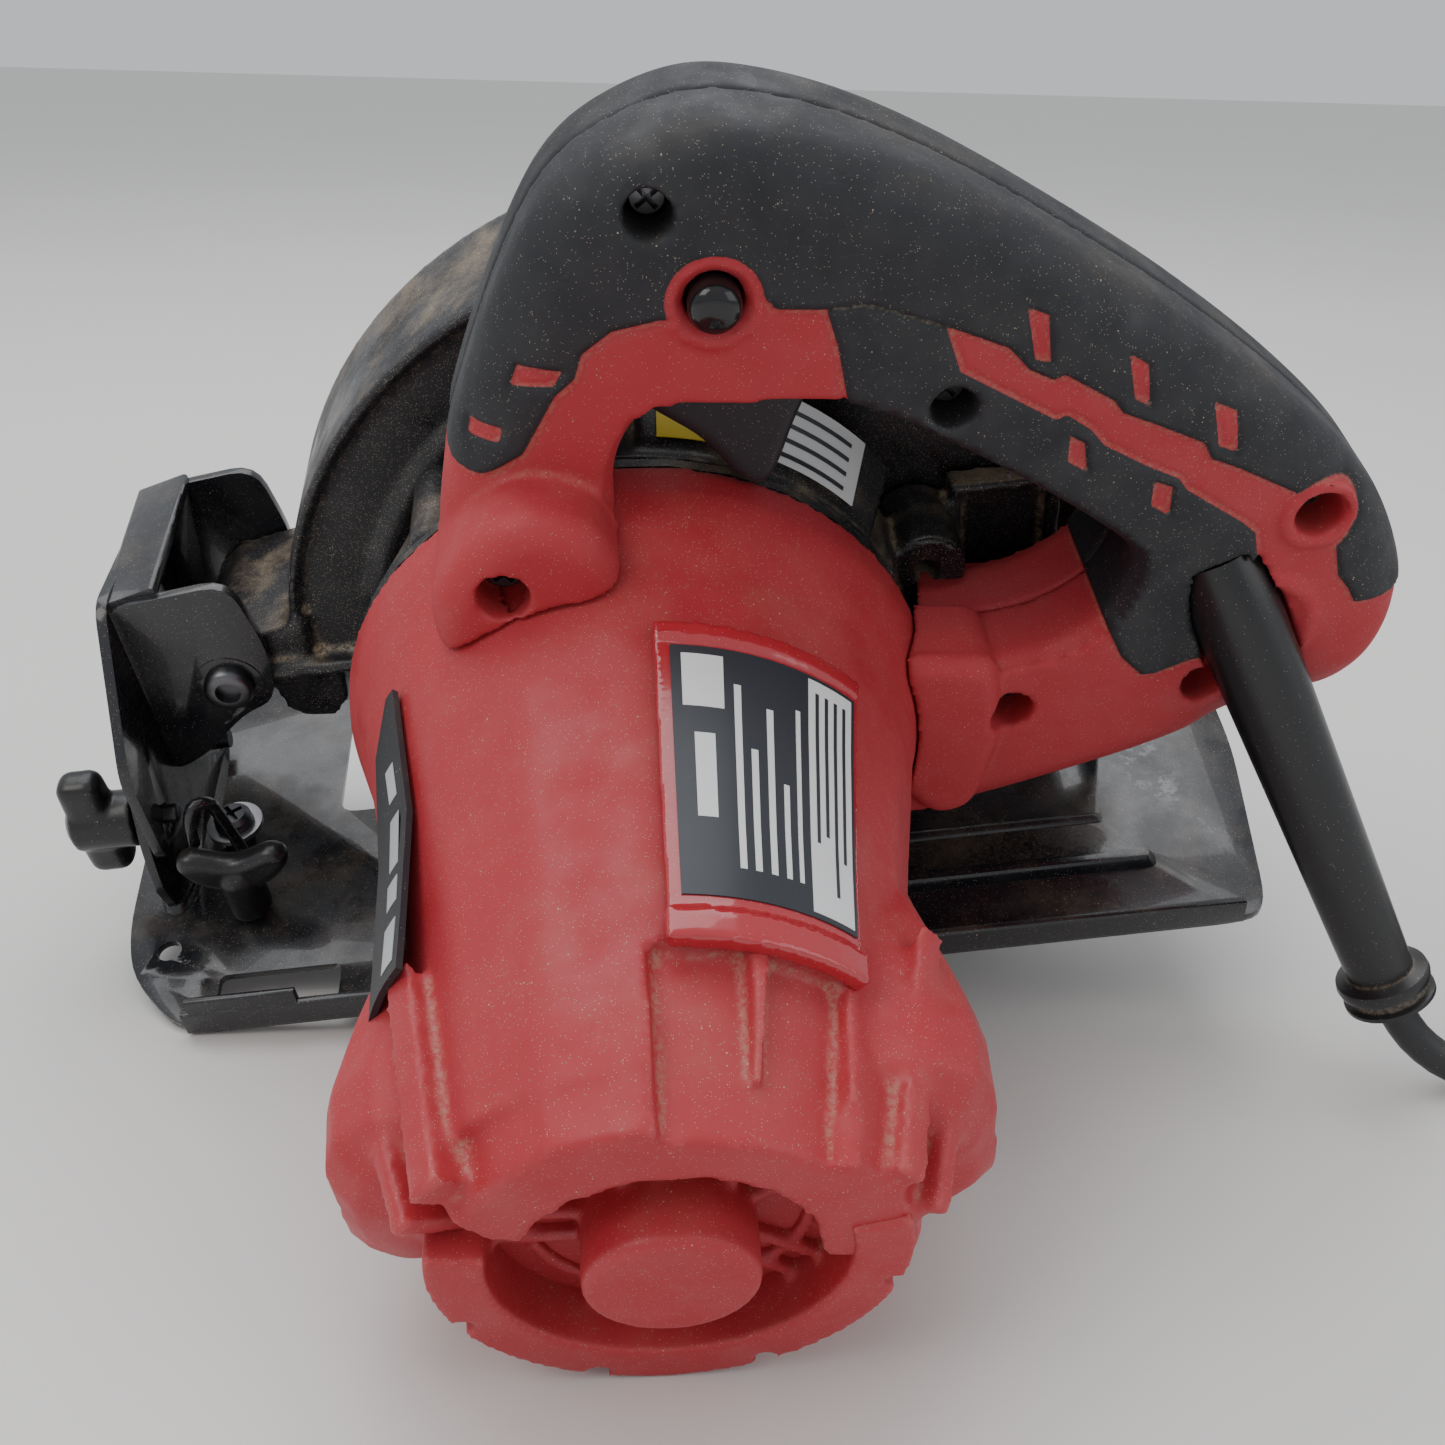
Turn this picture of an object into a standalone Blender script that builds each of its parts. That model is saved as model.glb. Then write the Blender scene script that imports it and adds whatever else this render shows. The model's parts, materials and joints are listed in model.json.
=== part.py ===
"""Circular saw, resting on its motor end, lower guard and base plate.

Lengths below are millimetres in the saw's own frame: x runs to the rear, y from the motor
to the blade side, z up from the sole, with the blade in the plane y = 0. new_object()
turns them into metres, and the rest_pose empty lays the whole saw down on z = 0.
"""

import math

import bmesh
import bpy
from mathutils import Matrix, Vector

MM = 0.001
GAP = 0.3                       # clearance kept between neighbouring solids

# Blade, arbor and motor
BLADE_R = 95.0                  # 190 mm blade
BLADE_T = 1.8
BLADE_TEETH = 36
ARBOR = (14.0, 51.0)            # x, z of the blade axis
MOTOR = (-8.0, 65.0)            # x, z of the motor axis
GEAR_TEETH = 45
PINION_TEETH = 8
AXIS_DISTANCE = math.dist(ARBOR, MOTOR)
MODULE = 2 * AXIS_DISTANCE / (GEAR_TEETH + PINION_TEETH)

# Fixed blade case and moving lower guard
CASE_R = 110.0
CASE_WALL = 2.5
CASE_BACK = -26.0
CASE_FRONT = 14.0
GUARD_R = 99.0
GUARD_WALL = 1.8
GUARD_BACK = -14.0
GUARD_FRONT = 10.0
GUARD_SPAN = (193.0, 372.0)     # degrees about the arbor, from the rear over the top

# Motor and gear housings: (y, outer radius about the motor axis)
GEARBOX = (-61.7, -26.3)
HOUSING_END = -196.0
HOUSING_RADII = [(-65.0, 67.0), (-73.0, 66.0), (-90.0, 60.5), (-110.0, 57.0),
                 (-126.0, 54.0), (-150.0, 50.0), (-176.0, 46.5), (-190.0, 45.0), (-196.0, 44.0)]
HOUSING_WALL = 2.8
HOUSING_FLAT = 40.0             # how far the flat underside lies below the motor axis
EAR_REACH = 62.0                # brush ears, out from the motor axis
EAR_Y = (-122.0, -192.0)
BRUSH_Y = -176.0
END_RING = (31.0, 42.0)
END_Y = -207.0
HUB_R = 15.5
HUB_Y = -211.0

# Base plate, its depth pivot and its bevel axis
BASE_T = 2.0
RIM_H = 8.0
SLOT = (-98.0, 122.0, -28.5, 13.0)
FENCE_SLOT = (-123.0, -92.0, -93.0, -82.0)
BASE_OUTLINE = [(-131, -98), (136, -98), (141, -94), (149, -40), (150, 30), (142, 40),
                (-118, 40), (-146, 26), (-151, -20), (-150, -64), (-146, -80)]
DEPTH_PIVOT = (-112.0, 57.0)    # x, z
BEVEL_Z = 8.0
QUADRANT_R = 55.0
BEVEL_BOLT_ANGLE = 66.0         # degrees from upright, towards the motor
LINK_R = 225.0
CLAMP_ANGLE = 8.0               # degrees above level, seen from the depth pivot

# Handle
HANDLE_Y = (-82.0, -62.0, -42.0)
HANDLE_OUTLINE = [
    (-40, 100), (-44, 116), (-40, 138), (-31, 160), (-19, 183), (-9, 196), (3, 203), (16, 206),
    (29, 204), (45, 198), (63, 188), (85, 173), (109, 155), (133, 134), (151, 114), (161, 94),
    (163, 80), (160, 68), (152, 60), (140, 57), (128, 54), (119, 48), (100, 41), (66, 32), (46, 30),
    (46, 82), (76, 80), (92, 86), (99, 95), (101, 104), (98, 110), (76, 128), (48, 147), (34, 151),
    (14, 153), (2, 152), (-5, 141), (-6, 125), (-2, 112), (2, 98)]
HANDLE_SCREWS = [(7, 193), (61, 148), (138, 113), (76, 66), (-26, 134)]
TRIGGER_PIVOT = (40.0, 163.0)
TRIGGER_TRAVEL = 8.0            # degrees
LOCK_BUTTON = (17.0, 176.0)
LOCK_R = 5.0
RELIEF_ROOT = (121.7, -76.0, 94.8)
RELIEF_TIP = (163.0, -122.0, -4.0)

# Mains lead, in floor millimetres: it lies on z = 0 beside the resting saw
CORD_D = 8.5
CORD_ROUTE = [(165.2, -18.4, 14.4), (172.1, -19.7, 9.0), (180.2, -21.2, 5.7), (188.8, -22.8, 4.5),
              (204.0, -31.0, 4.5), (220.0, -41.5, 4.5), (239.1, -50.0, 4.5)]
COIL_CENTRE = (282.2, 8.0)
COIL_RADII = (31.0, 65.2)
COIL_HEIGHT = 17.4
PLUG_AT = (350.6, 56.4)

PALETTE = {
    "red": ((0.42, 0.045, 0.055), 0.55, 0.0),
    "charcoal": ((0.035, 0.035, 0.04), 0.7, 0.0),
    "black": ((0.02, 0.021, 0.024), 0.35, 0.4),
    "steel": ((0.55, 0.55, 0.56), 0.35, 1.0),
    "zinc": ((0.7, 0.71, 0.73), 0.3, 1.0),
    "aluminium": ((0.6, 0.61, 0.62), 0.4, 1.0),
    "copper": ((0.72, 0.35, 0.2), 0.4, 1.0),
    "brass": ((0.75, 0.58, 0.28), 0.35, 1.0),
    "carbon": ((0.05, 0.05, 0.05), 0.6, 0.2),
}


# ---- Scene and object helpers -----------------------------------------------------------

def clear_scene():
    for obj in list(bpy.data.objects):
        bpy.data.objects.remove(obj, do_unlink=True)


def new_empty(name, place, parent=None):
    empty = bpy.data.objects.new(name, None)
    empty.location = Vector(place) * MM
    empty.parent = parent
    bpy.context.collection.objects.link(empty)
    return empty


def new_material(name, finish):
    colour, roughness, metallic = PALETTE[finish]
    material = bpy.data.materials.new(name)
    material.use_nodes = True
    shader = material.node_tree.nodes["Principled BSDF"]
    shader.inputs["Base Color"].default_value = (*colour, 1.0)
    shader.inputs["Roughness"].default_value = roughness
    shader.inputs["Metallic"].default_value = metallic
    return material


def new_object(name, bm, finish, axis):
    """Object from a mesh in saw-frame millimetres, with its origin on the empty `axis`."""
    bmesh.ops.recalc_face_normals(bm, faces=bm.faces)
    offset = axis.location / MM if axis.parent else Vector()
    bmesh.ops.translate(bm, vec=-offset, verts=bm.verts)
    bmesh.ops.scale(bm, vec=(MM, MM, MM), verts=bm.verts)
    mesh = bpy.data.meshes.new(name)
    bm.to_mesh(mesh)
    bm.free()
    mesh.materials.append(new_material(name, finish))
    obj = bpy.data.objects.new(name, mesh)
    obj.parent = axis
    bpy.context.collection.objects.link(obj)
    return obj


def smooth(obj, angle=35):
    obj.data.shade_smooth()
    obj.data.set_sharp_from_angle(angle=math.radians(angle))
    return obj


def new_tool(bm, axis):
    """Hidden solid that a Boolean reads."""
    obj = new_object("tool", bm, "steel", axis)
    obj.hide_render = True
    obj.display_type = "WIRE"
    return obj


def combine(target, operation, *tool_meshes):
    for bm in tool_meshes:
        modifier = target.modifiers.new(operation.lower(), "BOOLEAN")
        modifier.operation = operation
        modifier.object = new_tool(bm, target.parent)
    return target


def cut(target, *tool_meshes):
    return combine(target, "DIFFERENCE", *tool_meshes)


def join(target, *tool_meshes):
    return combine(target, "UNION", *tool_meshes)


def round_edges(obj, width, segments=2, angle=40):
    modifier = obj.modifiers.new("round", "BEVEL")
    modifier.width = width * MM
    modifier.segments = segments
    modifier.limit_method = "ANGLE"
    modifier.angle_limit = math.radians(angle)
    return obj


# ---- Shape helpers ----------------------------------------------------------------------

PLANES = {
    "XZ": lambda u, v, w: (u, w, v),    # extruded along y
    "YZ": lambda u, v, w: (w, u, v),    # extruded along x
    "XY": lambda u, v, w: (u, v, w),    # extruded along z
}


def loft(rings, capped=True):
    """Skin between rings of equal count, with flat ends."""
    bm = bmesh.new()
    loops = [[bm.verts.new(p) for p in ring] for ring in rings]
    count = len(loops[0])
    for a, b in zip(loops, loops[1:]):
        for i in range(count):
            j = (i + 1) % count
            bm.faces.new((a[i], a[j], b[j], b[i]))
    if capped:
        bm.faces.new(loops[0])
        bm.faces.new(loops[-1])
    return bm


def prism(outline, low, high, plane="XZ"):
    place = PLANES[plane]
    return loft([[place(u, v, w) for u, v in outline] for w in (low, high)])


def box(x, y, z):
    return prism([(x[0], z[0]), (x[1], z[0]), (x[1], z[1]), (x[0], z[1])], y[0], y[1])


def arc(centre, radius, start, end, steps):
    """Points about a centre, angles in degrees from the first axis to the second."""
    angles = [math.radians(start + (end - start) * i / steps) for i in range(steps + 1)]
    return [(centre[0] + radius * math.cos(a), centre[1] + radius * math.sin(a)) for a in angles]


def circle(centre, radius, steps=24):
    return arc(centre, radius, 0, 360 - 360 / steps, steps - 1)


def rod(centre, radius, low, high, plane="XZ", steps=24):
    return prism(circle(centre, radius, steps), low, high, plane)


def turned(profile, centre, plane="XZ", steps=24, closed=True):
    """Solid of revolution from (radius, height) points; radius 0 closes it on its axis."""
    bm = bmesh.new()
    place = PLANES[plane]
    unit = circle((0, 0), 1.0, steps)
    loops = []
    for radius, height in profile:
        if radius == 0:
            loops.append([bm.verts.new(place(centre[0], centre[1], height))] * steps)
        else:
            ring = [place(centre[0] + radius * c, centre[1] + radius * s, height) for c, s in unit]
            loops.append([bm.verts.new(p) for p in ring])
    pairs = list(zip(loops, loops[1:]))
    if closed:
        pairs.append((loops[-1], loops[0]))
    for a, b in pairs:
        for i in range(steps):
            j = (i + 1) % steps
            corners = list(dict.fromkeys((a[i], a[j], b[j], b[i])))
            if len(corners) > 2:
                bm.faces.new(corners)
    return bm


def tube(centre, inner, outer, low, high, plane="XZ", steps=24):
    return turned([(inner, low), (outer, low), (outer, high), (inner, high)], centre, plane, steps)


def sector(centre, inner, outer, start, end, steps):
    """Outline of a ring sector."""
    return arc(centre, outer, start, end, steps) + arc(centre, inner, end, start, steps)


def upright(angle):
    """Angle from upright towards the motor, as an angle in the YZ plane."""
    return 90.0 + angle


def polar(centre, radius, angle):
    return arc(centre, radius, angle, angle, 1)[0]


def about(centre, point, angle):
    """The point turned about a centre."""
    u, v = point[0] - centre[0], point[1] - centre[1]
    return polar(centre, math.hypot(u, v), math.degrees(math.atan2(v, u)) + angle)


# ---- Resting attitude -------------------------------------------------------------------

def resting_normal():
    """Floor normal in the saw frame when corner, end ring and guard touch the floor."""
    corner = Vector((*BASE_OUTLINE[0], 0.0))
    ring = Vector((MOTOR[0], END_Y, MOTOR[1]))
    guard = Vector((ARBOR[0], GUARD_BACK, ARBOR[1]))
    normal = Vector((0.12, 0.33, 0.94)).normalized()
    for _ in range(60):
        down = Vector((-normal.x, 0.0, -normal.z)).normalized()
        touch_ring = ring + down * END_RING[1]
        touch_guard = guard + down * GUARD_R
        normal = (touch_guard - corner).cross(touch_ring - corner).normalized()
        if normal.z < 0:
            normal.negate()
    return normal, corner


def rest_matrix(stand_at):
    normal, corner = resting_normal()
    side = (Vector((1, 0, 0)) - normal * normal.x).normalized()
    rotation = Matrix((side, normal.cross(side), normal)).to_4x4()
    height = -(rotation @ corner).z
    return Matrix.Translation(Vector((*stand_at, height)) * MM) @ rotation


# ---- Housings ---------------------------------------------------------------------------

def housing_radius(y):
    for (y0, r0), (y1, r1) in zip(HOUSING_RADII, HOUSING_RADII[1:]):
        if y >= y1:
            return r0 + (r1 - r0) * (y0 - y) / (y0 - y1)
    return HOUSING_RADII[-1][1]


def ear_swell(y):
    """0 to 1 along the motor: how far the brush ears stand out."""
    start, end = EAR_Y
    t = (start - y) / (start - end)
    return math.sin(math.pi * min(max(t, 0.0), 1.0)) ** 0.6 if 0 < t < 1 else 0.0


def housing_ring(y, radius, swell=0.0, steps=36):
    points = []
    for c, s in circle((0, 0), 1.0, steps):
        width = max(0.0, 1.0 - (s / 0.5) ** 2)
        reach = radius + swell * width * (EAR_REACH - radius)
        low = -HOUSING_FLAT if y > -120 else -radius
        points.append((MOTOR[0] + reach * c, y, MOTOR[1] + max(reach * s, low)))
    return points


def motor_housing(root):
    outer = [housing_ring(y, r, ear_swell(y)) for y, r in HOUSING_RADII]
    inner = [housing_ring(y, r - HOUSING_WALL) for y, r in reversed(HOUSING_RADII)]
    for ring in inner:
        for i, (x, y, z) in enumerate(ring):
            ring[i] = (x, y, max(z, MOTOR[1] - HOUSING_FLAT + HOUSING_WALL))
    bm = loft(outer + inner, capped=False)
    close_loop(bm, len(outer[0]))
    body = new_object("motor_housing", bm, "red", root)
    bore = rod((BRUSH_Y, MOTOR[1]), 7.6, MOTOR[0] - 70, MOTOR[0] + 70, "YZ")
    return smooth(cut(body, bore))


def close_loop(bm, count):
    """Join the last ring of a loft back to the first."""
    bm.verts.ensure_lookup_table()
    first = bm.verts[:count]
    last = bm.verts[-count:]
    for i in range(count):
        j = (i + 1) % count
        bm.faces.new((last[i], last[j], first[j], first[i]))


def end_cover(root):
    start = HOUSING_END - GAP
    rim = [(38.5, start), (END_RING[1] + 1.5, start), (END_RING[1], END_Y), (END_RING[0], END_Y),
           (END_RING[0], END_Y + 6)]
    hub = turned([(0, HUB_Y), (HUB_R, HUB_Y), (HUB_R, start), (9.8, start), (9.8, HUB_Y + 5),
                  (0, HUB_Y + 5)], MOTOR, closed=False)
    body = new_object("end_cover", turned(rim, MOTOR, steps=32), "red", root)
    spokes = []
    for i in range(8):
        a, b = 45 * i + 17.5, 45 * i + 27.5
        outline = [polar(MOTOR, HUB_R - 1.5, a), polar(MOTOR, HUB_R - 1.5, b),
                   polar(MOTOR, 33.5, b - 2.5), polar(MOTOR, 33.5, a + 2.5)]
        spokes.append(prism(outline, END_Y + 1.5, END_Y + 5.5))
    return smooth(join(body, hub, *spokes))


def gear_housing(root):
    back, front = GEARBOX
    bm = loft([flat_ring(back, 66.5), flat_ring(-44, 62), flat_ring(front, 58)])
    body = new_object("gear_housing", bm, "black", root)
    cavity = loft([flat_ring(back - 1, 62.5, 2.5), flat_ring(-44, 58.5, 2.5),
                   flat_ring(front - 4, 54, 2.5)])
    return smooth(cut(body, cavity, rod(ARBOR, 24.0, -40, -20)))


def flat_ring(y, radius, inset=0.0, steps=32):
    floor = MOTOR[1] - HOUSING_FLAT + inset
    return [(x, y, max(z, floor)) for x, z in circle(MOTOR, radius, steps)]


def bearing_bracket(root):
    disc = loft([flat_ring(-64.7, 66.5), flat_ring(-62.0, 66.5)])
    body = new_object("bearing_bracket", disc, "aluminium", root)
    join(body, rod(MOTOR, 16.5, -74, -63), rod(ARBOR, 11.0, -63, -54))
    return cut(body, rod(MOTOR, 13.2, -75, -64.5), rod(MOTOR, 6.5, -66, -60),
               rod(ARBOR, 8.2, -62.5, -50))


def bearing_box(root):
    profile = [(9.2, -19.7), (13.3, -19.7), (13.3, -30), (23.6, -30), (23.6, -23.2), (31, -23.2),
               (31, -20.4), (19.5, -20.4), (19.5, -8), (9.2, -8)]
    return smooth(new_object("bearing_box", turned(profile, ARBOR), "aluminium", root))


def blade_case(root):
    rise = 178.0
    half = arc(ARBOR, CASE_R, 0, rise, 30)
    body = new_object("blade_case", prism(half, CASE_BACK, CASE_FRONT), "black", root)
    hollow_r = CASE_R - CASE_WALL
    hollow = prism(arc(ARBOR, hollow_r, -25, 205, 36), CASE_BACK + CASE_WALL, CASE_FRONT - CASE_WALL)
    x, z = DEPTH_PIVOT
    lug = prism([(x - 8, z - 8), (x + 20, z - 6), (x + 22, z + 14), (x - 2, z + 9), (x - 9, z + 3)],
                CASE_BACK - 3, CASE_FRONT + 1)
    window = prism(sector(ARBOR, 0.5, 52, -40, 220, 20), CASE_FRONT - 4, CASE_FRONT + 2)
    join(body, lug)
    cut(body, hollow, window, rod(ARBOR, 24.0, CASE_BACK - 1, CASE_BACK + 4),
        rod(DEPTH_PIVOT, 4.3, CASE_BACK - 5, CASE_FRONT + 3))
    clamp = polar(DEPTH_PIVOT, LINK_R, CLAMP_ANGLE)
    return smooth(cut(body, rod(clamp, 3.4, CASE_BACK - 2, CASE_BACK + 4, steps=16)))


# ---- Drive ------------------------------------------------------------------------------

def cog(teeth, pitch_r, addendum, dedendum, centre, phase):
    """Toothed outline with straight flanks; phase puts the middle of a tooth at that angle."""
    points = []
    pitch = 360.0 / teeth
    for i in range(teeth):
        middle = phase + i * pitch
        corners = ((-0.30, -dedendum), (-0.13, addendum), (0.13, addendum), (0.30, -dedendum))
        for share, height in corners:
            points.append(polar(centre, pitch_r + height, middle + share * pitch))
    return points


def drive_train(arbor, rotor):
    towards = math.degrees(math.atan2(MOTOR[1] - ARBOR[1], MOTOR[0] - ARBOR[0]))
    gear_r = MODULE * GEAR_TEETH / 2
    pinion_r = MODULE * PINION_TEETH / 2
    gear = cog(GEAR_TEETH, gear_r, 0.6 * MODULE, 0.95 * MODULE, ARBOR, towards + 180 / GEAR_TEETH)
    wheel = new_object("driven_gear", prism(gear, -52, -42), "steel", arbor)
    cut(wheel, rod(ARBOR, 7.8, -53, -41))
    pinion = cog(PINION_TEETH, pinion_r, 0.6 * MODULE, 0.9 * MODULE, MOTOR, towards)
    new_object("pinion", prism(pinion, -54.6, -41), "steel", rotor)


def blade_outline():
    points = []
    pitch = 360.0 / BLADE_TEETH
    for i in range(BLADE_TEETH):
        points.append(polar(ARBOR, BLADE_R - 7, i * pitch))
        points.append(polar(ARBOR, BLADE_R, i * pitch + 0.28 * pitch))
        points.append(polar(ARBOR, BLADE_R - 0.8, i * pitch + 0.62 * pitch))
    return points


def blade_set(arbor):
    blade = new_object("blade", prism(blade_outline(), -BLADE_T / 2, BLADE_T / 2), "steel", arbor)
    cut(blade, rod(ARBOR, 10.0, -3, 3))
    inner = [(18, -5), (18, -1.4), (15, -1.2), (9.7, -1.2), (9.7, 0.8), (4.3, 0.8), (4.3, -5)]
    smooth(new_object("inner_flange", turned(inner, ARBOR), "steel", arbor))
    outer = [(4.3, 1.3), (18, 1.3), (18, 3), (14, 4.8), (4.3, 4.8)]
    smooth(new_object("outer_flange", turned(outer, ARBOR), "steel", arbor))
    bolt = new_object("blade_bolt", rod(ARBOR, 8.0, 5.1, 10.3, steps=6), "steel", arbor)
    join(bolt, rod(ARBOR, 3.9, -18, 6, steps=20))
    spindle = [(0, -61), (5.0, -61), (5.0, -54), (7.5, -53.5), (7.5, -19.4), (8.8, -19.4), (8.8, -5.3),
               (4.3, -5.3), (4.3, -18.6), (0, -18.6)]
    smooth(new_object("spindle", turned(spindle, ARBOR, closed=False), "steel", arbor))


def rotor_set(rotor):
    shaft = [(0, -55), (5, -55), (5, -188), (4, -188.5), (4, -202), (0, -202)]
    smooth(new_object("rotor_shaft", turned(shaft, MOTOR, steps=20, closed=False), "steel", rotor))
    smooth(new_object("rotor_core", tube(MOTOR, 5.3, 22.5, -152, -100), "steel", rotor))
    smooth(new_object("commutator", tube(MOTOR, 5.3, 14, -186, -166), "copper", rotor))
    fan = new_object("cooling_fan", tube(MOTOR, 5.3, 36, -80, -77.5, steps=36), "charcoal", rotor)
    vanes = []
    for i in range(12):
        a = 30 * i
        outline = [polar(MOTOR, 7, a - 6), polar(MOTOR, 7, a + 6), polar(MOTOR, 34, a + 9),
                   polar(MOTOR, 34, a + 7)]
        vanes.append(prism(outline, -89.5, -79))
    join(fan, tube(MOTOR, 5.3, 10, -90.2, -78.6, steps=20), *vanes)


def stator_set(root):
    smooth(new_object("stator_core", tube(MOTOR, 31, 36.5, -154, -98), "steel", root))
    for name, middle in (("field_coil_upper", 90), ("field_coil_lower", 270)):
        outline = sector(MOTOR, 24.0, 30.5, middle - 66, middle + 66, 12)
        smooth(new_object(name, prism(outline, -160, -92), "copper", root))


def bearings(root):
    sizes = [("spindle_ball_bearing", ARBOR, 7.8, 13.0, -29, -20.1),
             ("spindle_needle_bearing", ARBOR, 5.2, 8.0, -61, -54.5),
             ("rotor_front_bearing", MOTOR, 5.3, 13.0, -73.5, -65),
             ("rotor_rear_bearing", MOTOR, 4.2, 9.5, -204, -196.8)]
    for name, centre, inner, outer, low, high in sizes:
        smooth(new_object(name, tube(centre, inner, outer, low, high, steps=28), "steel", root))


def motor_span(sign, near, far):
    """x range between two distances from the motor axis, on one side of it."""
    return sorted((MOTOR[0] + sign * near, MOTOR[0] + sign * far))


def brush_block(sign, near, far, half_y, half_z):
    """Block beside the commutator, square to the motor axis."""
    return box(motor_span(sign, near, far), (BRUSH_Y - half_y, BRUSH_Y + half_y),
               (MOTOR[1] - half_z, MOTOR[1] + half_z))


def brush_gear(root):
    """A holder, a carbon and a screwed cap on each side of the commutator."""
    for side, sign in (("front", -1), ("rear", 1)):
        holder = new_object("brush_holder_" + side, brush_block(sign, 16, 49, 5.2, 4.6), "brass", root)
        cut(holder, brush_block(sign, 15, 50, 3.9, 3.3))
        new_object("carbon_brush_" + side, brush_block(sign, 14.4, 34, 3.5, 2.9), "carbon", root)
        low, high = motor_span(sign, 49.6, 59.5)
        cap = new_object("brush_cap_" + side, rod((BRUSH_Y, MOTOR[1]), 7.2, low, high, "YZ"), "black", root)
        cut(cap, brush_block(sign, 57.5, 61, 5.5, 0.8))


# ---- Lower guard ------------------------------------------------------------------------

def lower_guard(guard):
    start, end = GUARD_SPAN
    shell = new_object("lower_guard", prism(sector(ARBOR, 20.0, GUARD_R, start, end, 22),
                                            GUARD_BACK, GUARD_FRONT), "zinc", guard)
    hollow = prism(sector(ARBOR, 0.5, GUARD_R - GUARD_WALL, start - 30, end + 30, 30),
                   GUARD_BACK + GUARD_WALL, GUARD_FRONT - GUARD_WALL)
    window = prism(sector(ARBOR, 0.5, 74, start - 30, end + 30, 24), GUARD_FRONT - 4, GUARD_FRONT + 2)
    cut(shell, hollow, window)
    join(shell, tube(ARBOR, 20.0, 25.0, GUARD_BACK, GUARD_BACK + GUARD_WALL))
    smooth(shell)
    lug = sector(ARBOR, 60, 94, end - 16, end - 13, 1)
    lever = new_object("guard_lever", prism(lug, GUARD_BACK - 8, GUARD_BACK - GAP), "zinc", guard)
    pad = sector(ARBOR, 60, 94, end - 26, end - 13, 3)
    return join(lever, prism(pad, GUARD_BACK - 2.3, GUARD_BACK - GAP))


# ---- Handle -----------------------------------------------------------------------------

def handle_half(name, root, low, high):
    half = new_object(name, prism(HANDLE_OUTLINE, low, high), "charcoal", root)
    round_edges(half, 5.0, 1, 60)
    clearance = loft([housing_clearance(y) for y in (-100, -73, -30)])
    cut(half, clearance, grip_pocket(), post_pocket(), rear_pocket())
    cut(half, trigger_slot(0), trigger_slot(TRIGGER_TRAVEL))
    for x, z in HANDLE_SCREWS:
        cut(half, turned([(0, -70.8), (5.2, -70.8), (5.2, -90), (0, -90)], (x, z), steps=16, closed=False),
            rod((x, z), 2.4, -75, -50, steps=12))
    cut(half, rod(LOCK_BUTTON, LOCK_R + 0.5, -90, -60, steps=20), relief_socket())
    return half


def housing_clearance(y):
    return [(x, y, z) for x, z in circle(MOTOR, 67.0 + 2 * GAP, 48)]


def grip_pocket():
    outline = [(24, 166), (26, 198), (50, 194), (92, 170), (92, 150), (68, 154), (54, 158), (50, 162)]
    return prism(outline, -76, -48)


def post_pocket():
    return prism([(-28, 148), (-12, 184), (-2, 170), (-14, 140)], -76, -48)


def rear_pocket():
    return prism([(112, 100), (126, 118), (130, 100), (136, 86), (130, 76), (112, 74)], -76, -48)


def trigger_outline(margin=0.0):
    m = margin
    return [(48 + m, 158 - m), (48 + m, 170 + m), (30, 172 + m), (8 - m, 168 + m), (-1 - m, 156),
            (1 - m, 149 - m), (12, 139 - m), (20, 128 - m), (26 + m, 128 - m), (32 + m, 142),
            (38 + m, 153 - m)]


def trigger_slot(pull):
    """Room round the trigger when it is pulled by that many degrees."""
    outline = [about(TRIGGER_PIVOT, point, -pull) for point in trigger_outline(2.5)]
    return prism(outline, -73, -51)


def relief_socket():
    root_point, tip = Vector(RELIEF_ROOT), Vector(RELIEF_TIP)
    direction = (tip - root_point).normalized()
    return swept_rings(root_point - direction * 6, direction, [(0, 10.5), (56, 10.5)])


def swept_rings(start, direction, stations, steps=20):
    """Round solid along a direction, from (distance, radius) stations."""
    side = direction.cross(Vector((0, 1, 0))).normalized()
    up = side.cross(direction)
    rings = []
    for distance, radius in stations:
        centre = start + direction * distance
        rings.append([centre + side * (radius * c) + up * (radius * s)
                      for c, s in circle((0, 0), 1.0, steps)])
    return loft(rings)


def strain_relief(root):
    start, tip = Vector(RELIEF_ROOT), Vector(RELIEF_TIP)
    direction = (tip - start).normalized()
    length = (tip - start).length
    stations = [(-5, 9.8), (1, 9.8), (length * 0.5, 8.6), (length - 6, 7.8), (length - 5, 10.5),
                (length, 10.5)]
    body = new_object("strain_relief", swept_rings(start, direction, stations), "charcoal", root)
    return smooth(body)


def handle_screws(root):
    for number, (x, z) in enumerate(HANDLE_SCREWS, 1):
        profile = [(0, -73.5), (3.4, -73.2), (4.4, -71.1), (2.0, -71.1), (2.0, -52), (0, -51)]
        shape = turned(profile, (x, z), steps=14, closed=False)
        smooth(new_object(f"handle_screw_{number}", shape, "steel", root))


def controls(trigger_axis, button_axis, root):
    trigger = new_object("trigger", prism(trigger_outline(), -70.5, -53.5), "charcoal", trigger_axis)
    round_edges(trigger, 2.0, 2, 30)
    cut(trigger, rod(TRIGGER_PIVOT, 2.5, -74, -50, steps=16))
    new_object("trigger_pin", rod(TRIGGER_PIVOT, 2.2, -72.7, -51.3, steps=16), "steel", root)
    profile = [(0, -86.5), (3.5, -86.5), (LOCK_R, -85), (LOCK_R, -76.3), (0, -76.3)]
    button = turned(profile, LOCK_BUTTON, steps=20, closed=False)
    smooth(new_object("lock_button", button, "charcoal", button_axis))
    switch = [(53, 161.5), (53, 186), (60, 184), (88, 168), (88, 154), (70, 157)]
    new_object("switch_body", prism(switch, -73, -51), "charcoal", root)


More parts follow.
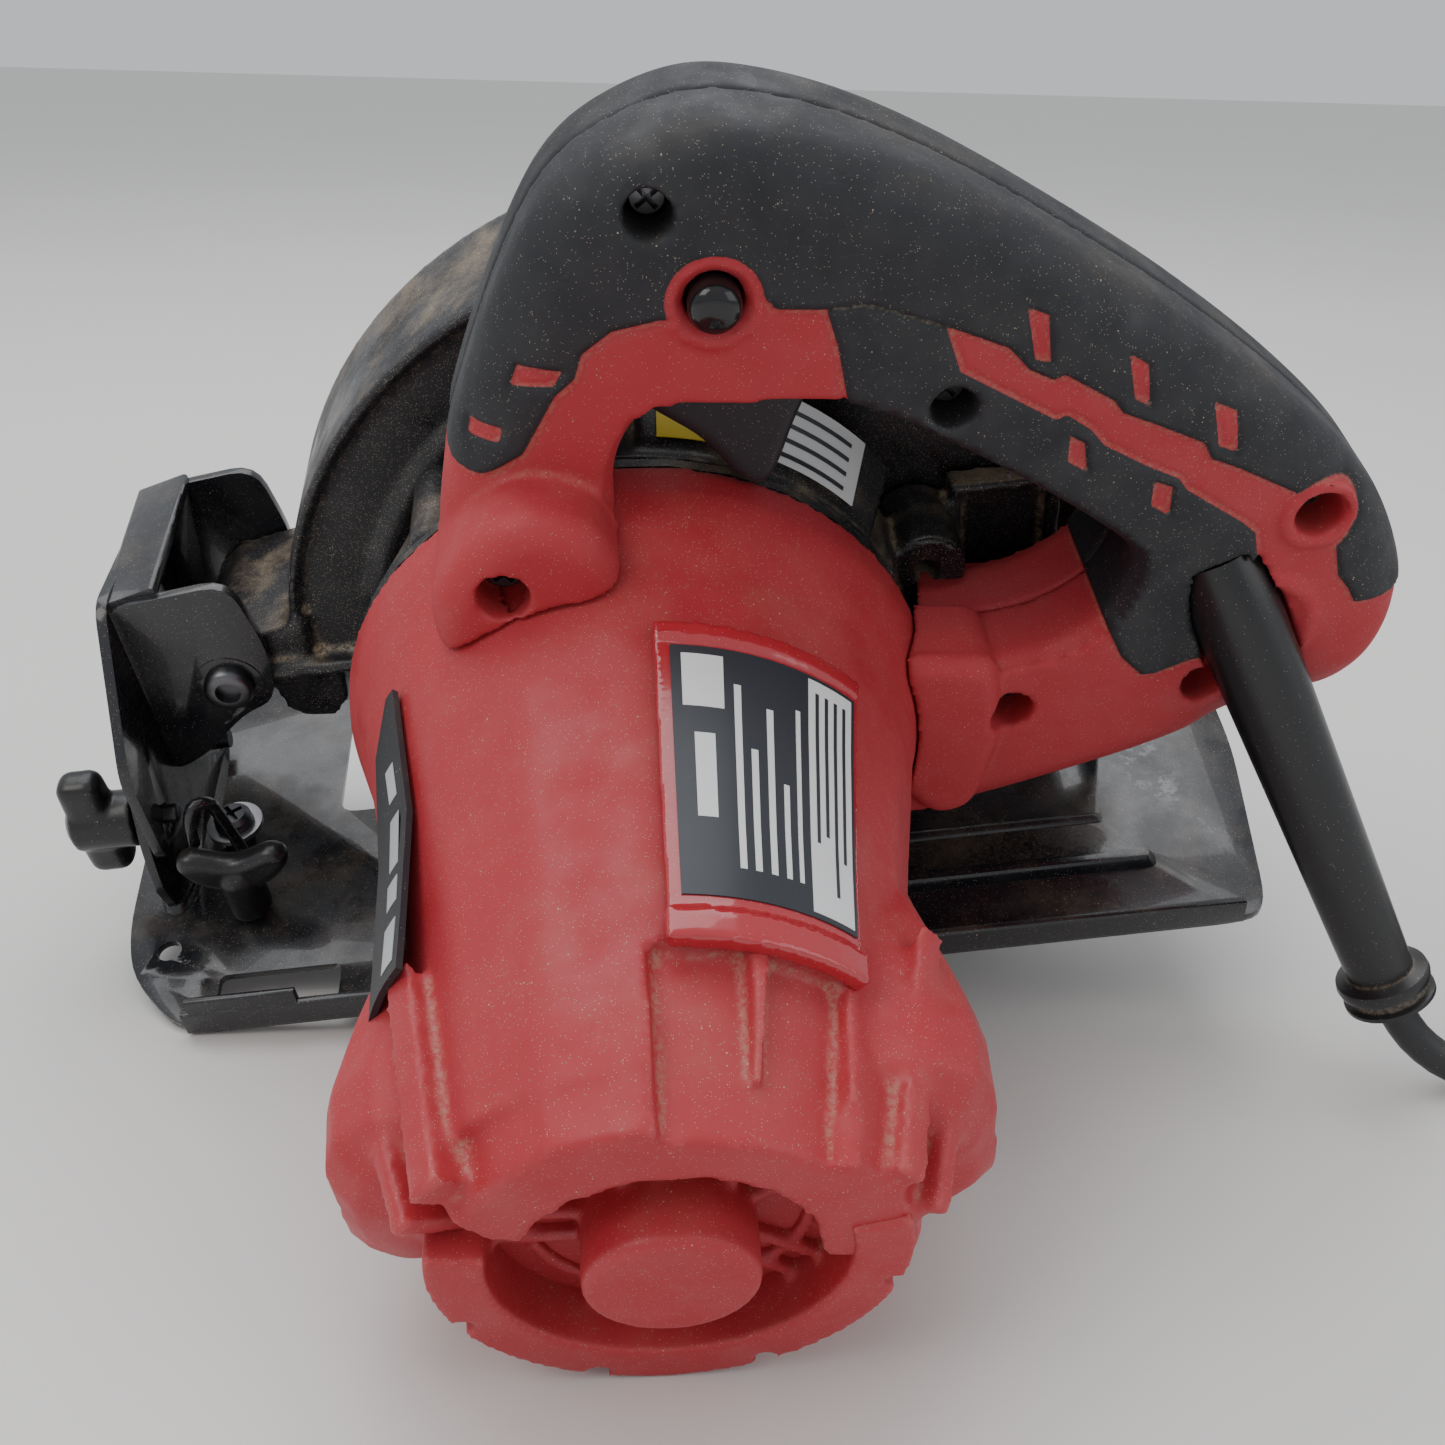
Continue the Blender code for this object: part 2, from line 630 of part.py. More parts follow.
def labels(root):
    """Curved panels let into the top and the front side of the motor housing."""
    for name, start, end, low, high, finish in (("name_panel", 38, 82, -173, -108, "red"),
                                               ("side_panel", 131, 139, -165, -97, "charcoal")):
        rings = []
        for y in (low, -150, -126, high):
            inner, outer = housing_radius(y) + GAP, housing_radius(y) + 1.6
            rings.append([(x, y, z) for x, z in sector(MOTOR, inner, outer, start, end, 6)])
        smooth(new_object(name, loft(rings), finish, root))


# ---- Base and its adjustments -----------------------------------------------------------

def base_plate(base):
    body = new_object("base_plate", prism(BASE_OUTLINE, 0, BASE_T, "XY"), "black", base)
    near = box((-130, 136), (-98, -96), (1, RIM_H))
    far = box((-116, 141), (38, 40), (1, RIM_H))
    rib = box((-60, 118), (-79, -73), (1, 5))
    ear = prism([(-8, 1), (-6, BEVEL_Z + 3), (-3, BEVEL_Z + 6), (3, BEVEL_Z + 6), (6, BEVEL_Z + 3), (8, 1)],
                124, 126.5, "YZ")
    join(body, near, far, rib, ear)
    x0, x1, y0, y1 = SLOT
    fx0, fx1, fy0, fy1 = FENCE_SLOT
    cut(body, box((x0, x1), (y0, y1), (-3, 30)), box((fx0, fx1), (fy0, fy1), (-3, 30)),
        rod((0, BEVEL_Z), 2.8, 120, 130, "YZ", 16))
    return body


def bevel_quadrant(base):
    centre = (0, BEVEL_Z)
    outer = arc(centre, QUADRANT_R + 6, upright(86), upright(13), 12)
    inner = arc(centre, QUADRANT_R - 6, upright(13), upright(60), 8)
    foot = [(-30, 14), (-6, 15), (3, 14.4), (6.2, 10), (6.2, BASE_T + GAP), (-58, BASE_T + GAP)]
    body = new_object("bevel_quadrant", prism(outer + inner + foot, -140, -137.7, "YZ"), "black", base)
    slot = sector(centre, QUADRANT_R - 2.8, QUADRANT_R + 2.8, upright(18), upright(BEVEL_BOLT_ANGLE + 4), 12)
    return cut(body, prism(slot, -142, -135, "YZ"), rod(centre, 2.8, -142, -135, "YZ", 16))


def bevel_pins(base):
    for name, low, high, head in (("bevel_pin_front", -142.6, -131, -143),
                                  ("bevel_pin_rear", 111.5, 129.2, 129.5)):
        pin = new_object(name, rod((0, BEVEL_Z), 2.5, low, high, "YZ", 16), "steel", base)
        inward = 2.0 if head < 0 else -2.0
        span = sorted((head, head + inward))
        join(pin, rod((0, BEVEL_Z), 4.5, span[0], span[1], "YZ", 16))


def front_bracket(carrier):
    web = [(5.2, 9), (4, 12), (17, 40), (18.3, 80), (-33, 86), (-60, 52), (-60, 22), (-44, 20), (-20, 4.2),
           (-2, 2.8), (3, 3.6), (5.2, 6)]
    body = new_object("front_bracket", prism(web, -136.6, -134, "YZ"), "black", carrier)
    x, z = DEPTH_PIVOT
    cheek = [(-135, 28), (-135, 82), (-104, 88), (-100, 66), (-102, 50), (-112, 46), (-124, 34)]
    join(body, prism(cheek, -33, -30.4), prism(cheek, 15.6, 18.2))
    bolt_hole = polar((0, BEVEL_Z), QUADRANT_R, upright(BEVEL_BOLT_ANGLE))
    return cut(body, rod((x, z), 4.3, -40, 25), rod((0, BEVEL_Z), 2.8, -140, -130, "YZ", 16),
               rod(bolt_hole, 2.8, -140, -130, "YZ", 16))


def depth_pivot_pin(carrier):
    profile = [(0, -29), (2.4, -29), (2.4, -37), (4.6, -37), (6.2, -35.5), (6.2, -33.3), (4.0, -33.3),
               (4.0, 18.6), (0, 18.6)]
    return smooth(new_object("depth_pivot_pin", turned(profile, DEPTH_PIVOT, steps=16, closed=False),
                             "steel", carrier))


def depth_link(carrier):
    strap = sector(DEPTH_PIVOT, LINK_R - 6, LINK_R + 6, -11.0, 28, 12)
    body = new_object("depth_link", prism(strap, -31, -28.6), "black", carrier)
    foot = [(-30.5, BASE_T + 3), (-30.5, 16), (-6, 17), (0, BEVEL_Z + 5.6), (4, BEVEL_Z + 4), (5.6, BEVEL_Z),
            (4, BEVEL_Z - 4), (0, BEVEL_Z - 5.5)]
    join(body, prism(foot, 111.8, 114.6, "YZ"))
    slot = sector(DEPTH_PIVOT, LINK_R - 3.2, LINK_R + 3.2, -15.3 + CLAMP_ANGLE, 25, 12)
    return cut(body, prism(slot, -35, -25), rod((0, BEVEL_Z), 2.8, 110, 120, "YZ", 16))


def depth_lever(clamp):
    centre = polar(DEPTH_PIVOT, LINK_R, CLAMP_ANGLE)
    body = new_object("depth_lever", rod(centre, 7.5, -40, -31.4, steps=20), "charcoal", clamp)
    x, z = centre
    arm = [(x - 4, z + 5), (x + 5, z + 4), (x + 12, z + 34), (x + 9, z + 40), (x + 2, z + 37)]
    return join(body, rod(centre, 2.9, -33, -22, steps=16), prism(arm, -40, -36))


def wing(centre, axis_range, reach, plane):
    """Outline of a two-winged knob, round in the middle."""
    u, v = centre
    outline = [(u - 5, v - 6), (u - 3, v - reach), (u + 3, v - reach), (u + 5, v - 6), (u + 6, v),
               (u + 5, v + 6), (u + 3, v + reach), (u - 3, v + reach), (u - 5, v + 6), (u - 6, v)]
    return prism(outline, axis_range[0], axis_range[1], plane)


def bevel_knob(knob):
    centre = polar((0, BEVEL_Z), QUADRANT_R, upright(BEVEL_BOLT_ANGLE))
    body = new_object("bevel_knob", wing(centre, (-157, -146), 16, "YZ"), "charcoal", knob)
    return join(body, rod(centre, 7.5, -148, -140.4, "YZ", 20), rod(centre, 2.5, -141, -130, "YZ", 16))


def fence_screw(knob):
    body = new_object("fence_screw", box((-129, -105), (-64, -60), (14, 26)), "charcoal", knob)
    return join(body, rod((-117, -62), 5.5, 4, 20, "XY", 16))


def stop_screw(base):
    profile = [(0, 14), (4.5, 13), (5.2, 10.5), (7.5, 10.5), (7.5, 8.8), (4, 8.8), (4, BASE_T + GAP),
               (0, BASE_T + GAP)]
    screw = turned(profile, (-124, -36), "XY", 16, closed=False)
    return smooth(new_object("stop_screw", screw, "steel", base))


# ---- Mains lead -------------------------------------------------------------------------

def relief_end():
    """Centre of the strain relief's end face, and the way out of it, on the floor."""
    matrix = rest_matrix(STANDS_AT)
    tip = matrix @ (Vector(RELIEF_TIP) * MM)
    start = matrix @ (Vector(RELIEF_ROOT) * MM)
    return tip / MM, (tip - start).normalized()


def smooth_route(points, step):
    """Catmull-Rom curve through the points, read about every `step` millimetres."""
    ends = [points[0] * 2 - points[1], *points, points[-1] * 2 - points[-2]]
    route = []
    for i in range(1, len(ends) - 2):
        a, b, c, d = ends[i - 1:i + 3]
        count = max(1, round((c - b).length / step))
        for k in range(count):
            t = k / count
            route.append(0.5 * (2 * b + (c - a) * t + (2 * a - 5 * b + 4 * c - d) * t ** 2
                                + (3 * b - a - 3 * c + d) * t ** 3))
    return [*route, points[-1]]


def power_cord():
    tip, way = relief_end()
    start = tip + way * GAP
    points = smooth_route([start, start + way * 4] + [Vector(p) for p in CORD_ROUTE], 2.4 * CORD_D)
    curve = bpy.data.curves.new("power_cord", "CURVE")
    curve.dimensions = "3D"
    curve.bevel_depth = CORD_D / 2 * MM
    curve.bevel_resolution = 2
    curve.use_fill_caps = True
    spline = curve.splines.new("POLY")
    spline.points.add(len(points) - 1)
    for target, point in zip(spline.points, points):
        target.co = (*(point * MM), 1.0)
    curve.materials.append(new_material("power_cord", "charcoal"))
    obj = bpy.data.objects.new("power_cord", curve)
    bpy.context.collection.objects.link(obj)


def cord_coil(floor):
    inner, outer = COIL_RADII
    profile = [(inner, 4), (inner + 4, 0.2), (outer - 4, 0.2), (outer, 4), (outer - 4, COIL_HEIGHT),
               (inner + 6, COIL_HEIGHT)]
    smooth(new_object("cord_coil", turned(profile, COIL_CENTRE, "XY", 32), "charcoal", floor))


def plug(floor):
    x, y = PLUG_AT
    outline = [(x - 7, y - 12), (x + 7, y - 12), (x + 12, y - 2), (x + 12, y + 18), (x - 12, y + 18),
               (x - 12, y - 2)]
    body = round_edges(new_object("plug", prism(outline, 0.3, 19, "XY"), "charcoal", floor), 2.5, 1, 30)
    pins = [box((x + side - 0.8, x + side + 0.8), (y + 16, y + 35), (6.3, 12.7)) for side in (-6.35, 6.35)]
    return join(body, *pins)


# ---- Assembly ---------------------------------------------------------------------------

STANDS_AT = (-8.8, 96.6)         # moves the saw so that it stands centred on the origin


def at(point, y=0.0):
    return (point[0], y, point[1])


def build():
    clear_scene()
    root = new_empty("rest_pose", (0, 0, 0))
    root.matrix_world = rest_matrix(STANDS_AT)
    axes = {
        "arbor": at(ARBOR), "rotor": at(MOTOR), "guard": at(ARBOR), "trigger": at(TRIGGER_PIVOT, -62),
        "button": at(LOCK_BUTTON, -80), "carrier": at(DEPTH_PIVOT), "base": (0, 0, BEVEL_Z),
        "clamp": at(polar(DEPTH_PIVOT, LINK_R, CLAMP_ANGLE), -30),
    }
    bolt = polar((0, BEVEL_Z), QUADRANT_R, upright(BEVEL_BOLT_ANGLE))
    axes["knob"] = (-140, *bolt)
    axes["fence"] = (-117, -62, 10)
    axis = {name: new_empty(name + "_axis", place, root) for name, place in axes.items()}

    for piece in (motor_housing, end_cover, gear_housing, bearing_bracket, bearing_box, blade_case,
                  stator_set, bearings, brush_gear, strain_relief, handle_screws, labels):
        piece(root)
    handle_half("handle_near", root, HANDLE_Y[0], HANDLE_Y[1] - GAP / 2)
    handle_half("handle_far", root, HANDLE_Y[1] + GAP / 2, HANDLE_Y[2])
    controls(axis["trigger"], axis["button"], root)
    drive_train(axis["arbor"], axis["rotor"])
    blade_set(axis["arbor"])
    rotor_set(axis["rotor"])
    lower_guard(axis["guard"])
    for piece in (front_bracket, depth_pivot_pin, depth_link):
        piece(axis["carrier"])
    for piece in (base_plate, bevel_quadrant, bevel_pins, stop_screw):
        piece(axis["base"])
    depth_lever(axis["clamp"])
    bevel_knob(axis["knob"])
    fence_screw(axis["fence"])
    floor = new_empty("floor", (0, 0, 0))
    power_cord()
    cord_coil(floor)
    plug(floor)


build()
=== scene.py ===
"""Looks of the circular saw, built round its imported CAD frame.

Saw pieces are drawn in millimetres in the saw's own frame: x runs to the rear, y from the
motor to the blade side, z up from the sole, with the blade in the plane y = 0. SAW turns
that frame into the row frame, where the saw lies tilted on the floor. The lead, its coil
and its plug are drawn in the row frame.
"""

import json
import math

import bmesh
import bpy
import numpy as np
from mathutils import Matrix, Vector


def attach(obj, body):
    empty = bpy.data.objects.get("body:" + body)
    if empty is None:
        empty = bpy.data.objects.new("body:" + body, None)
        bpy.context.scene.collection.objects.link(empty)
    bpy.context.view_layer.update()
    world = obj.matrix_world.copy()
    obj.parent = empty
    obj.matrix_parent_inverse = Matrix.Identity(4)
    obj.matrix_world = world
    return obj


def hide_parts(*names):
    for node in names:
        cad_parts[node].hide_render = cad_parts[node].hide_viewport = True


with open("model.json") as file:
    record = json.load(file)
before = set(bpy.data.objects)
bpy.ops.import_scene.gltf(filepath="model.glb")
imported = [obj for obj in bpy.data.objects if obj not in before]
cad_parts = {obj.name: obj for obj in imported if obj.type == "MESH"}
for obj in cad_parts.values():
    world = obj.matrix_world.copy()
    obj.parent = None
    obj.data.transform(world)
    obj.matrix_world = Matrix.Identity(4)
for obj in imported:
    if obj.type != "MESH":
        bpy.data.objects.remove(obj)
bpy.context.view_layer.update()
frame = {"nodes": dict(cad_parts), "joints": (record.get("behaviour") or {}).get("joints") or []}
NODES = frame["nodes"]
JOINTS = {joint["name"]: joint for joint in frame["joints"]}

MM = 0.001

# The saw's main places, in its own frame
ARBOR = (14.0, 51.0)
MOTOR = (-8.0, 65.0)
BEVEL_Z = 8.0
CASE_R = 110.0
END_Y = -207.0
HUB_Y = -211.0
RELIEF_ROOT = Vector((121.7, -76.0, 94.8))
RELIEF_TIP = Vector((163.0, -122.0, -4.0))
SEAM_Y = -62.0
NEAR_Y = -82.0


def saw_matrix():
    """Saw frame to row frame, from the joints' axes."""
    along = Vector(JOINTS["bevel_tilt"]["axis"]).normalized()
    across = Vector(JOINTS["blade_spin"]["axis"]).normalized()
    turn = Matrix((along, across, along.cross(across))).transposed()
    arbor = Vector((ARBOR[0], 0, ARBOR[1])) * MM
    shift = Vector(JOINTS["blade_spin"]["pos_m"]) - turn @ arbor
    return Matrix.Translation(shift) @ turn.to_4x4() @ Matrix.Scale(MM, 4)


SAW = saw_matrix()
FLOOR = Matrix.Scale(MM, 4)


# ---- Outlines and solids ----------------------------------------------------------------

PLANES = {
    "XZ": lambda u, v, w: (u, w, v),
    "YZ": lambda u, v, w: (w, u, v),
    "XY": lambda u, v, w: (u, v, w),
}


def loft(rings, closed=False):
    """Solid through rings of corners; closed joins the last ring to the first."""
    bm = bmesh.new()
    loops = [[bm.verts.new(p) for p in ring] for ring in rings]
    pairs = list(zip(loops, loops[1:]))
    if closed:
        pairs.append((loops[-1], loops[0]))
    count = len(loops[0])
    for a, b in pairs:
        for i in range(count):
            j = (i + 1) % count
            bm.faces.new((a[i], a[j], b[j], b[i]))
    if not closed:
        bm.faces.new(loops[0])
        bm.faces.new(loops[-1])
    return bm


def prism(outline, low, high, plane="XZ"):
    place = PLANES[plane]
    return loft([[place(u, v, w) for u, v in outline] for w in (low, high)])


def rect(u, v):
    return [(u[0], v[0]), (u[1], v[0]), (u[1], v[1]), (u[0], v[1])]


def box(x, y, z):
    return prism(rect(x, z), y[0], y[1])


def arc(centre, radius, start, end, steps):
    angles = [math.radians(start + (end - start) * i / steps) for i in range(steps + 1)]
    return [(centre[0] + radius * math.cos(a), centre[1] + radius * math.sin(a)) for a in angles]


def circle(centre, radius, steps=48):
    return arc(centre, radius, 0, 360 - 360 / steps, steps - 1)


def polar(centre, radius, angle):
    return arc(centre, radius, angle, angle, 1)[0]


def sector(centre, inner, outer, start, end, steps):
    return arc(centre, outer, start, end, steps) + arc(centre, inner, end, start, steps)


def rod(centre, radius, low, high, plane="XZ", steps=48):
    return prism(circle(centre, radius, steps), low, high, plane)


def turned(profile, centre, plane="XZ", steps=64, closed=True):
    """Solid of revolution from (radius, height) points; radius 0 closes it on its axis."""
    bm = bmesh.new()
    place = PLANES[plane]
    unit = circle((0, 0), 1.0, steps)
    loops = []
    for radius, height in profile:
        if radius == 0:
            loops.append([bm.verts.new(place(centre[0], centre[1], height))] * steps)
        else:
            ring = [place(centre[0] + radius * c, centre[1] + radius * s, height) for c, s in unit]
            loops.append([bm.verts.new(p) for p in ring])
    pairs = list(zip(loops, loops[1:]))
    if closed:
        pairs.append((loops[-1], loops[0]))
    for a, b in pairs:
        for i in range(steps):
            j = (i + 1) % steps
            corners = list(dict.fromkeys((a[i], a[j], b[j], b[i])))
            if len(corners) > 2:
                bm.faces.new(corners)
    return bm


def catmull_rom(a, b, c, d, t):
    """Point between b and c of a smooth line through four points."""
    return 0.5 * (2 * b + (c - a) * t + (2 * a - 5 * b + 4 * c - d) * t ** 2
                  + (3 * b - a - 3 * c + d) * t ** 3)


def spline_outline(points, step=2.0, closed=True):
    """Smooth outline through 2-D points, read about every `step`."""
    count = len(points)
    result = []
    last = count if closed else count - 1
    for i in range(last):
        picks = [points[(i + k) % count] if closed else points[min(max(i + k, 0), count - 1)]
                 for k in (-1, 0, 1, 2)]
        a, b, c, d = (np.array(p, float) for p in picks)
        steps = max(1, round(float(np.linalg.norm(c - b)) / step))
        result += [tuple(catmull_rom(a, b, c, d, k / steps)) for k in range(steps)]
    if not closed:
        result.append(tuple(points[-1]))
    return result


def inset(outline, distance):
    """Outline moved inwards along its own normals (negative moves it out)."""
    points = np.array(outline, float)
    ahead = np.roll(points, -1, 0) - np.roll(points, 1, 0)
    normal = np.stack([-ahead[:, 1], ahead[:, 0]], 1)
    normal /= np.linalg.norm(normal, axis=1)[:, None] + 1e-9
    x, z = points[:, 0], points[:, 1]
    turning = np.sum(x * np.roll(z, -1) - z * np.roll(x, -1))
    return [tuple(p) for p in points + normal * distance * (1 if turning > 0 else -1)]


def pillow(outline, low, high, radius, plane="XZ", steps=4, far_rim=True):
    """Prism with rounded rims; without its far rim it ends square."""
    place = PLANES[plane]
    quarter = [math.pi / 2 * i / steps for i in range(steps + 1)]
    rings = [(low + radius * (1 - math.cos(a)), radius * (1 - math.sin(a))) for a in quarter]
    if far_rim:
        rings += [(high - radius * (1 - math.sin(a)), radius * (1 - math.cos(a))) for a in quarter]
    else:
        rings.append((high, 0.0))
    return loft([[place(u, v, w) for u, v in inset(outline, d)] for w, d in rings])


def filleted(points, radius, steps=4):
    """Outline with its corners rounded."""
    result = []
    count = len(points)
    for i in range(count):
        before, here, after = (np.array(points[(i + k) % count], float) for k in (-1, 0, 1))
        ways = [other - here for other in (before, after)]
        reach = [min(radius, np.linalg.norm(w) * 0.45) for w in ways]
        a, b = (here + w / np.linalg.norm(w) * r for w, r in zip(ways, reach))
        for k in range(steps + 1):
            t = k / steps
            result.append(tuple(a * (1 - t) ** 2 + here * 2 * t * (1 - t) + b * t ** 2))
    return result


def stroke(start, end, width, low, high, plane="XZ"):
    """Narrow bar between two points of an outline plane."""
    a, b = np.array(start, float), np.array(end, float)
    side = np.array([-(b - a)[1], (b - a)[0]])
    side *= width / 2 / np.linalg.norm(side)
    return prism([tuple(a + side), tuple(b + side), tuple(b - side), tuple(a - side)], low, high, plane)


def ring_solid(centre, inner, outer, low, high):
    return turned(rect((inner, outer), (low, high)), centre, steps=48)


def turned_arc(profile, start, end, steps=60):
    """Solid swept about the arbor between two angles from (radius, height) points."""
    rings = []
    for i in range(steps + 1):
        angle = start + (end - start) * i / steps
        places = [(polar(ARBOR, radius, angle), height) for radius, height in profile]
        rings.append([(u, height, w) for (u, w), height in places])
    return loft(rings)


# ---- Objects ----------------------------------------------------------------------------

def mesh_object(name, bm, transform=SAW):
    bmesh.ops.recalc_face_normals(bm, faces=bm.faces)
    bm.transform(transform)
    mesh = bpy.data.meshes.new(name)
    bm.to_mesh(mesh)
    bm.free()
    obj = bpy.data.objects.new(name, mesh)
    bpy.context.scene.collection.objects.link(obj)
    return obj


def bake_modifiers(obj):
    """Replace the mesh by what its modifiers make of it, and drop them and their tools."""
    bpy.context.view_layer.update()
    evaluated = obj.evaluated_get(bpy.context.evaluated_depsgraph_get())
    mesh = bpy.data.meshes.new_from_object(evaluated)
    tools = [m.object for m in obj.modifiers if m.type == "BOOLEAN"]
    obj.modifiers.clear()
    obj.data = mesh
    for tool in tools:
        bpy.data.objects.remove(tool)
    return obj


def work(obj, operation, tools, transform):
    for tool in tools:
        modifier = obj.modifiers.new(operation, "BOOLEAN")
        modifier.operation = operation
        modifier.solver = "MANIFOLD"
        modifier.object = mesh_object("tool", tool, transform)


def combined(name, bm, plus=(), minus=(), transform=SAW):
    obj = mesh_object(name, bm, transform)
    work(obj, "UNION", plus, transform)
    work(obj, "DIFFERENCE", minus, transform)
    return bake_modifiers(obj)


def merged(parts):
    """One mesh holding several closed solids, which may run through each other."""
    whole, *others = parts
    for part in others:
        mesh = bpy.data.meshes.new("part")
        part.to_mesh(mesh)
        part.free()
        whole.from_mesh(mesh)
        bpy.data.meshes.remove(mesh)
    return whole


def moulded(name, plus, minus=(), late=(), voxel=0.8, passes=3, transform=SAW):
    """One even skin round the solids, with softened edges, as moulding and casting leave it."""
    obj = mesh_object(name, merged(plus), transform)

    def skin():
        remesh = obj.modifiers.new("skin", "REMESH")
        remesh.mode = "VOXEL"
        remesh.voxel_size = voxel * MM

    skin()
    work(obj, "DIFFERENCE", minus, transform)
    work(obj, "UNION", late, transform)
    skin()
    relax = obj.modifiers.new("relax", "SMOOTH")
    relax.factor = 0.5
    relax.iterations = passes
    bake_modifiers(obj)
    obj.data.shade_smooth()
    return obj


def smooth(obj, angle=38):
    obj.data.shade_smooth()
    obj.data.set_sharp_from_angle(angle=math.radians(angle))
    return obj


def pressed(name, body, plus=(), minus=(), edge=0.5):
    """Sheet or machined piece: exact solid with small rounded edges."""
    obj = combined(name, body, plus, minus)
    modifier = obj.modifiers.new("edge", "BEVEL")
    modifier.width = edge * MM
    modifier.segments = 3
    modifier.limit_method = "ANGLE"
    modifier.angle_limit = math.radians(40)
    bake_modifiers(obj)
    return smooth(obj, 40)


def dress(mesh, material):
    mesh.materials.clear()
    mesh.materials.append(LOOKS[material])


def piece(obj, material, body, *replaced, slot=None):
    """Dress an object, make it ride on its body and stand for CAD nodes."""
    dress(obj.data, material)
    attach(obj, body)
    if replaced:
        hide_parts(*replaced)
    return obj


def show(name, bm, material, body="saw_body", *replaced, angle=38):
    """Smooth-shaded piece straight from its mesh."""
    return piece(smooth(mesh_object(name, bm), angle), material, body, *replaced)


# ---- Materials --------------------------------------------------------------------------

class Surface:
    """A Principled material put together from a few named layers."""

    def __init__(self, name, roughness=0.5, metallic=0.0, coat=0.0):
        self.material = bpy.data.materials.new(name)
        self.material.use_nodes = True
        self.tree = self.material.node_tree
        self.shader = self.tree.nodes["Principled BSDF"]
        self.shader.inputs["Metallic"].default_value = metallic
        self.shader.inputs["Roughness"].default_value = roughness
        self.shader.inputs["Coat Weight"].default_value = coat
        self.place = self.tree.nodes.new("ShaderNodeTexCoord").outputs["Object"]
        self.height = None

    def node(self, kind, **inputs):
        made = self.tree.nodes.new(kind)
        for key, value in inputs.items():
            self.feed(made.inputs[key.replace("_", " ")], value)
        return made

    def feed(self, socket, value):
        if isinstance(value, bpy.types.NodeSocket):
            self.tree.links.new(value, socket)
        else:
            socket.default_value = value

    def noise(self, scale, detail=3.0, rough=0.5, vector=None):
        made = self.node("ShaderNodeTexNoise", Vector=vector or self.place, Scale=scale, Detail=detail,
                         Roughness=rough)
        return made.outputs["Fac"]

    def stretched(self, x, y, z):
        made = self.node("ShaderNodeMapping", Vector=self.place)
        made.inputs["Scale"].default_value = (x, y, z)
        return made.outputs["Vector"]

    def step(self, value, low, high):
        made = self.node("ShaderNodeMapRange", Value=value)
        made.interpolation_type = "SMOOTHSTEP"
        made.inputs["From Min"].default_value = low
        made.inputs["From Max"].default_value = high
        return made.outputs["Result"]

    def math(self, operation, a, b=0.0):
        made = self.tree.nodes.new("ShaderNodeMath")
        made.operation = operation
        made.use_clamp = operation in ("ADD", "SUBTRACT", "MULTIPLY")
        self.feed(made.inputs[0], a)
        self.feed(made.inputs[1], b)
        return made.outputs[0]

    def mix(self, share, a, b):
        made = self.tree.nodes.new("ShaderNodeMix")
        made.data_type = "RGBA"
        self.feed(made.inputs["Factor"], share)
        for socket, value in (("A", a), ("B", b)):
            target = next(s for s in made.inputs if s.name == socket and s.type == "RGBA")
            self.feed(target, value if isinstance(value, bpy.types.NodeSocket) else (*value, 1.0))
        return next(s for s in made.outputs if s.type == "RGBA")

    def blotches(self, colour, spread, scale):
        """Slow and fine variation round one colour."""
        dark = tuple(c * (1 - spread) for c in colour)
        light = tuple(min(1.0, c * (1 + spread)) for c in colour)
        return self.mix(self.noise(scale, 5.0, 0.6), dark, light)

    def attribute(self, name):
        made = self.tree.nodes.new("ShaderNodeAttribute")
        made.attribute_name = name
        return made.outputs["Fac"]

    def facing_up(self):
        """1 where the surface faces the sky at rest, 0 where it faces sideways or down."""
        normal = self.tree.nodes.new("ShaderNodeTexCoord").outputs["Normal"]
        parts = self.node("ShaderNodeSeparateXYZ", Vector=normal)
        return self.step(parts.outputs["Z"], 0.15, 0.95)

    def pointiness(self):
        return self.tree.nodes.new("ShaderNodeNewGeometry").outputs["Pointiness"]

    def specks(self, scale, share):
        """Grains lying on the surface: share is the cell noise above which one lies there."""
        size = 0.3
        cells = self.node("ShaderNodeTexVoronoi", Vector=self.place, Scale=scale)
        dot = self.step(cells.outputs["Distance"], size, size * 0.55)
        chosen = self.node("ShaderNodeSeparateColor", Color=cells.outputs["Color"])
        return self.math("MULTIPLY", dot, self.step(chosen.outputs["Red"], share, share + 0.02))

    def bump(self, height, strength, distance):
        made = self.node("ShaderNodeBump", Height=height, Strength=strength, Distance=distance * MM)
        if self.height is not None:
            self.tree.links.new(self.height, made.inputs["Normal"])
        self.height = made.outputs["Normal"]

    def done(self, colour):
        self.feed(self.shader.inputs["Base Color"], colour)
        if self.height is not None:
            self.tree.links.new(self.height, self.shader.inputs["Normal"])
        return self.material


SAWDUST = (0.38, 0.29, 0.19)
PALE_GRAIN = (0.56, 0.46, 0.33)
FINE_GRAIN = (0.52, 0.40, 0.30)
RED = (0.40, 0.025, 0.034)
CHARCOAL = (0.0135, 0.0145, 0.018)
INK = (0.011, 0.012, 0.015)


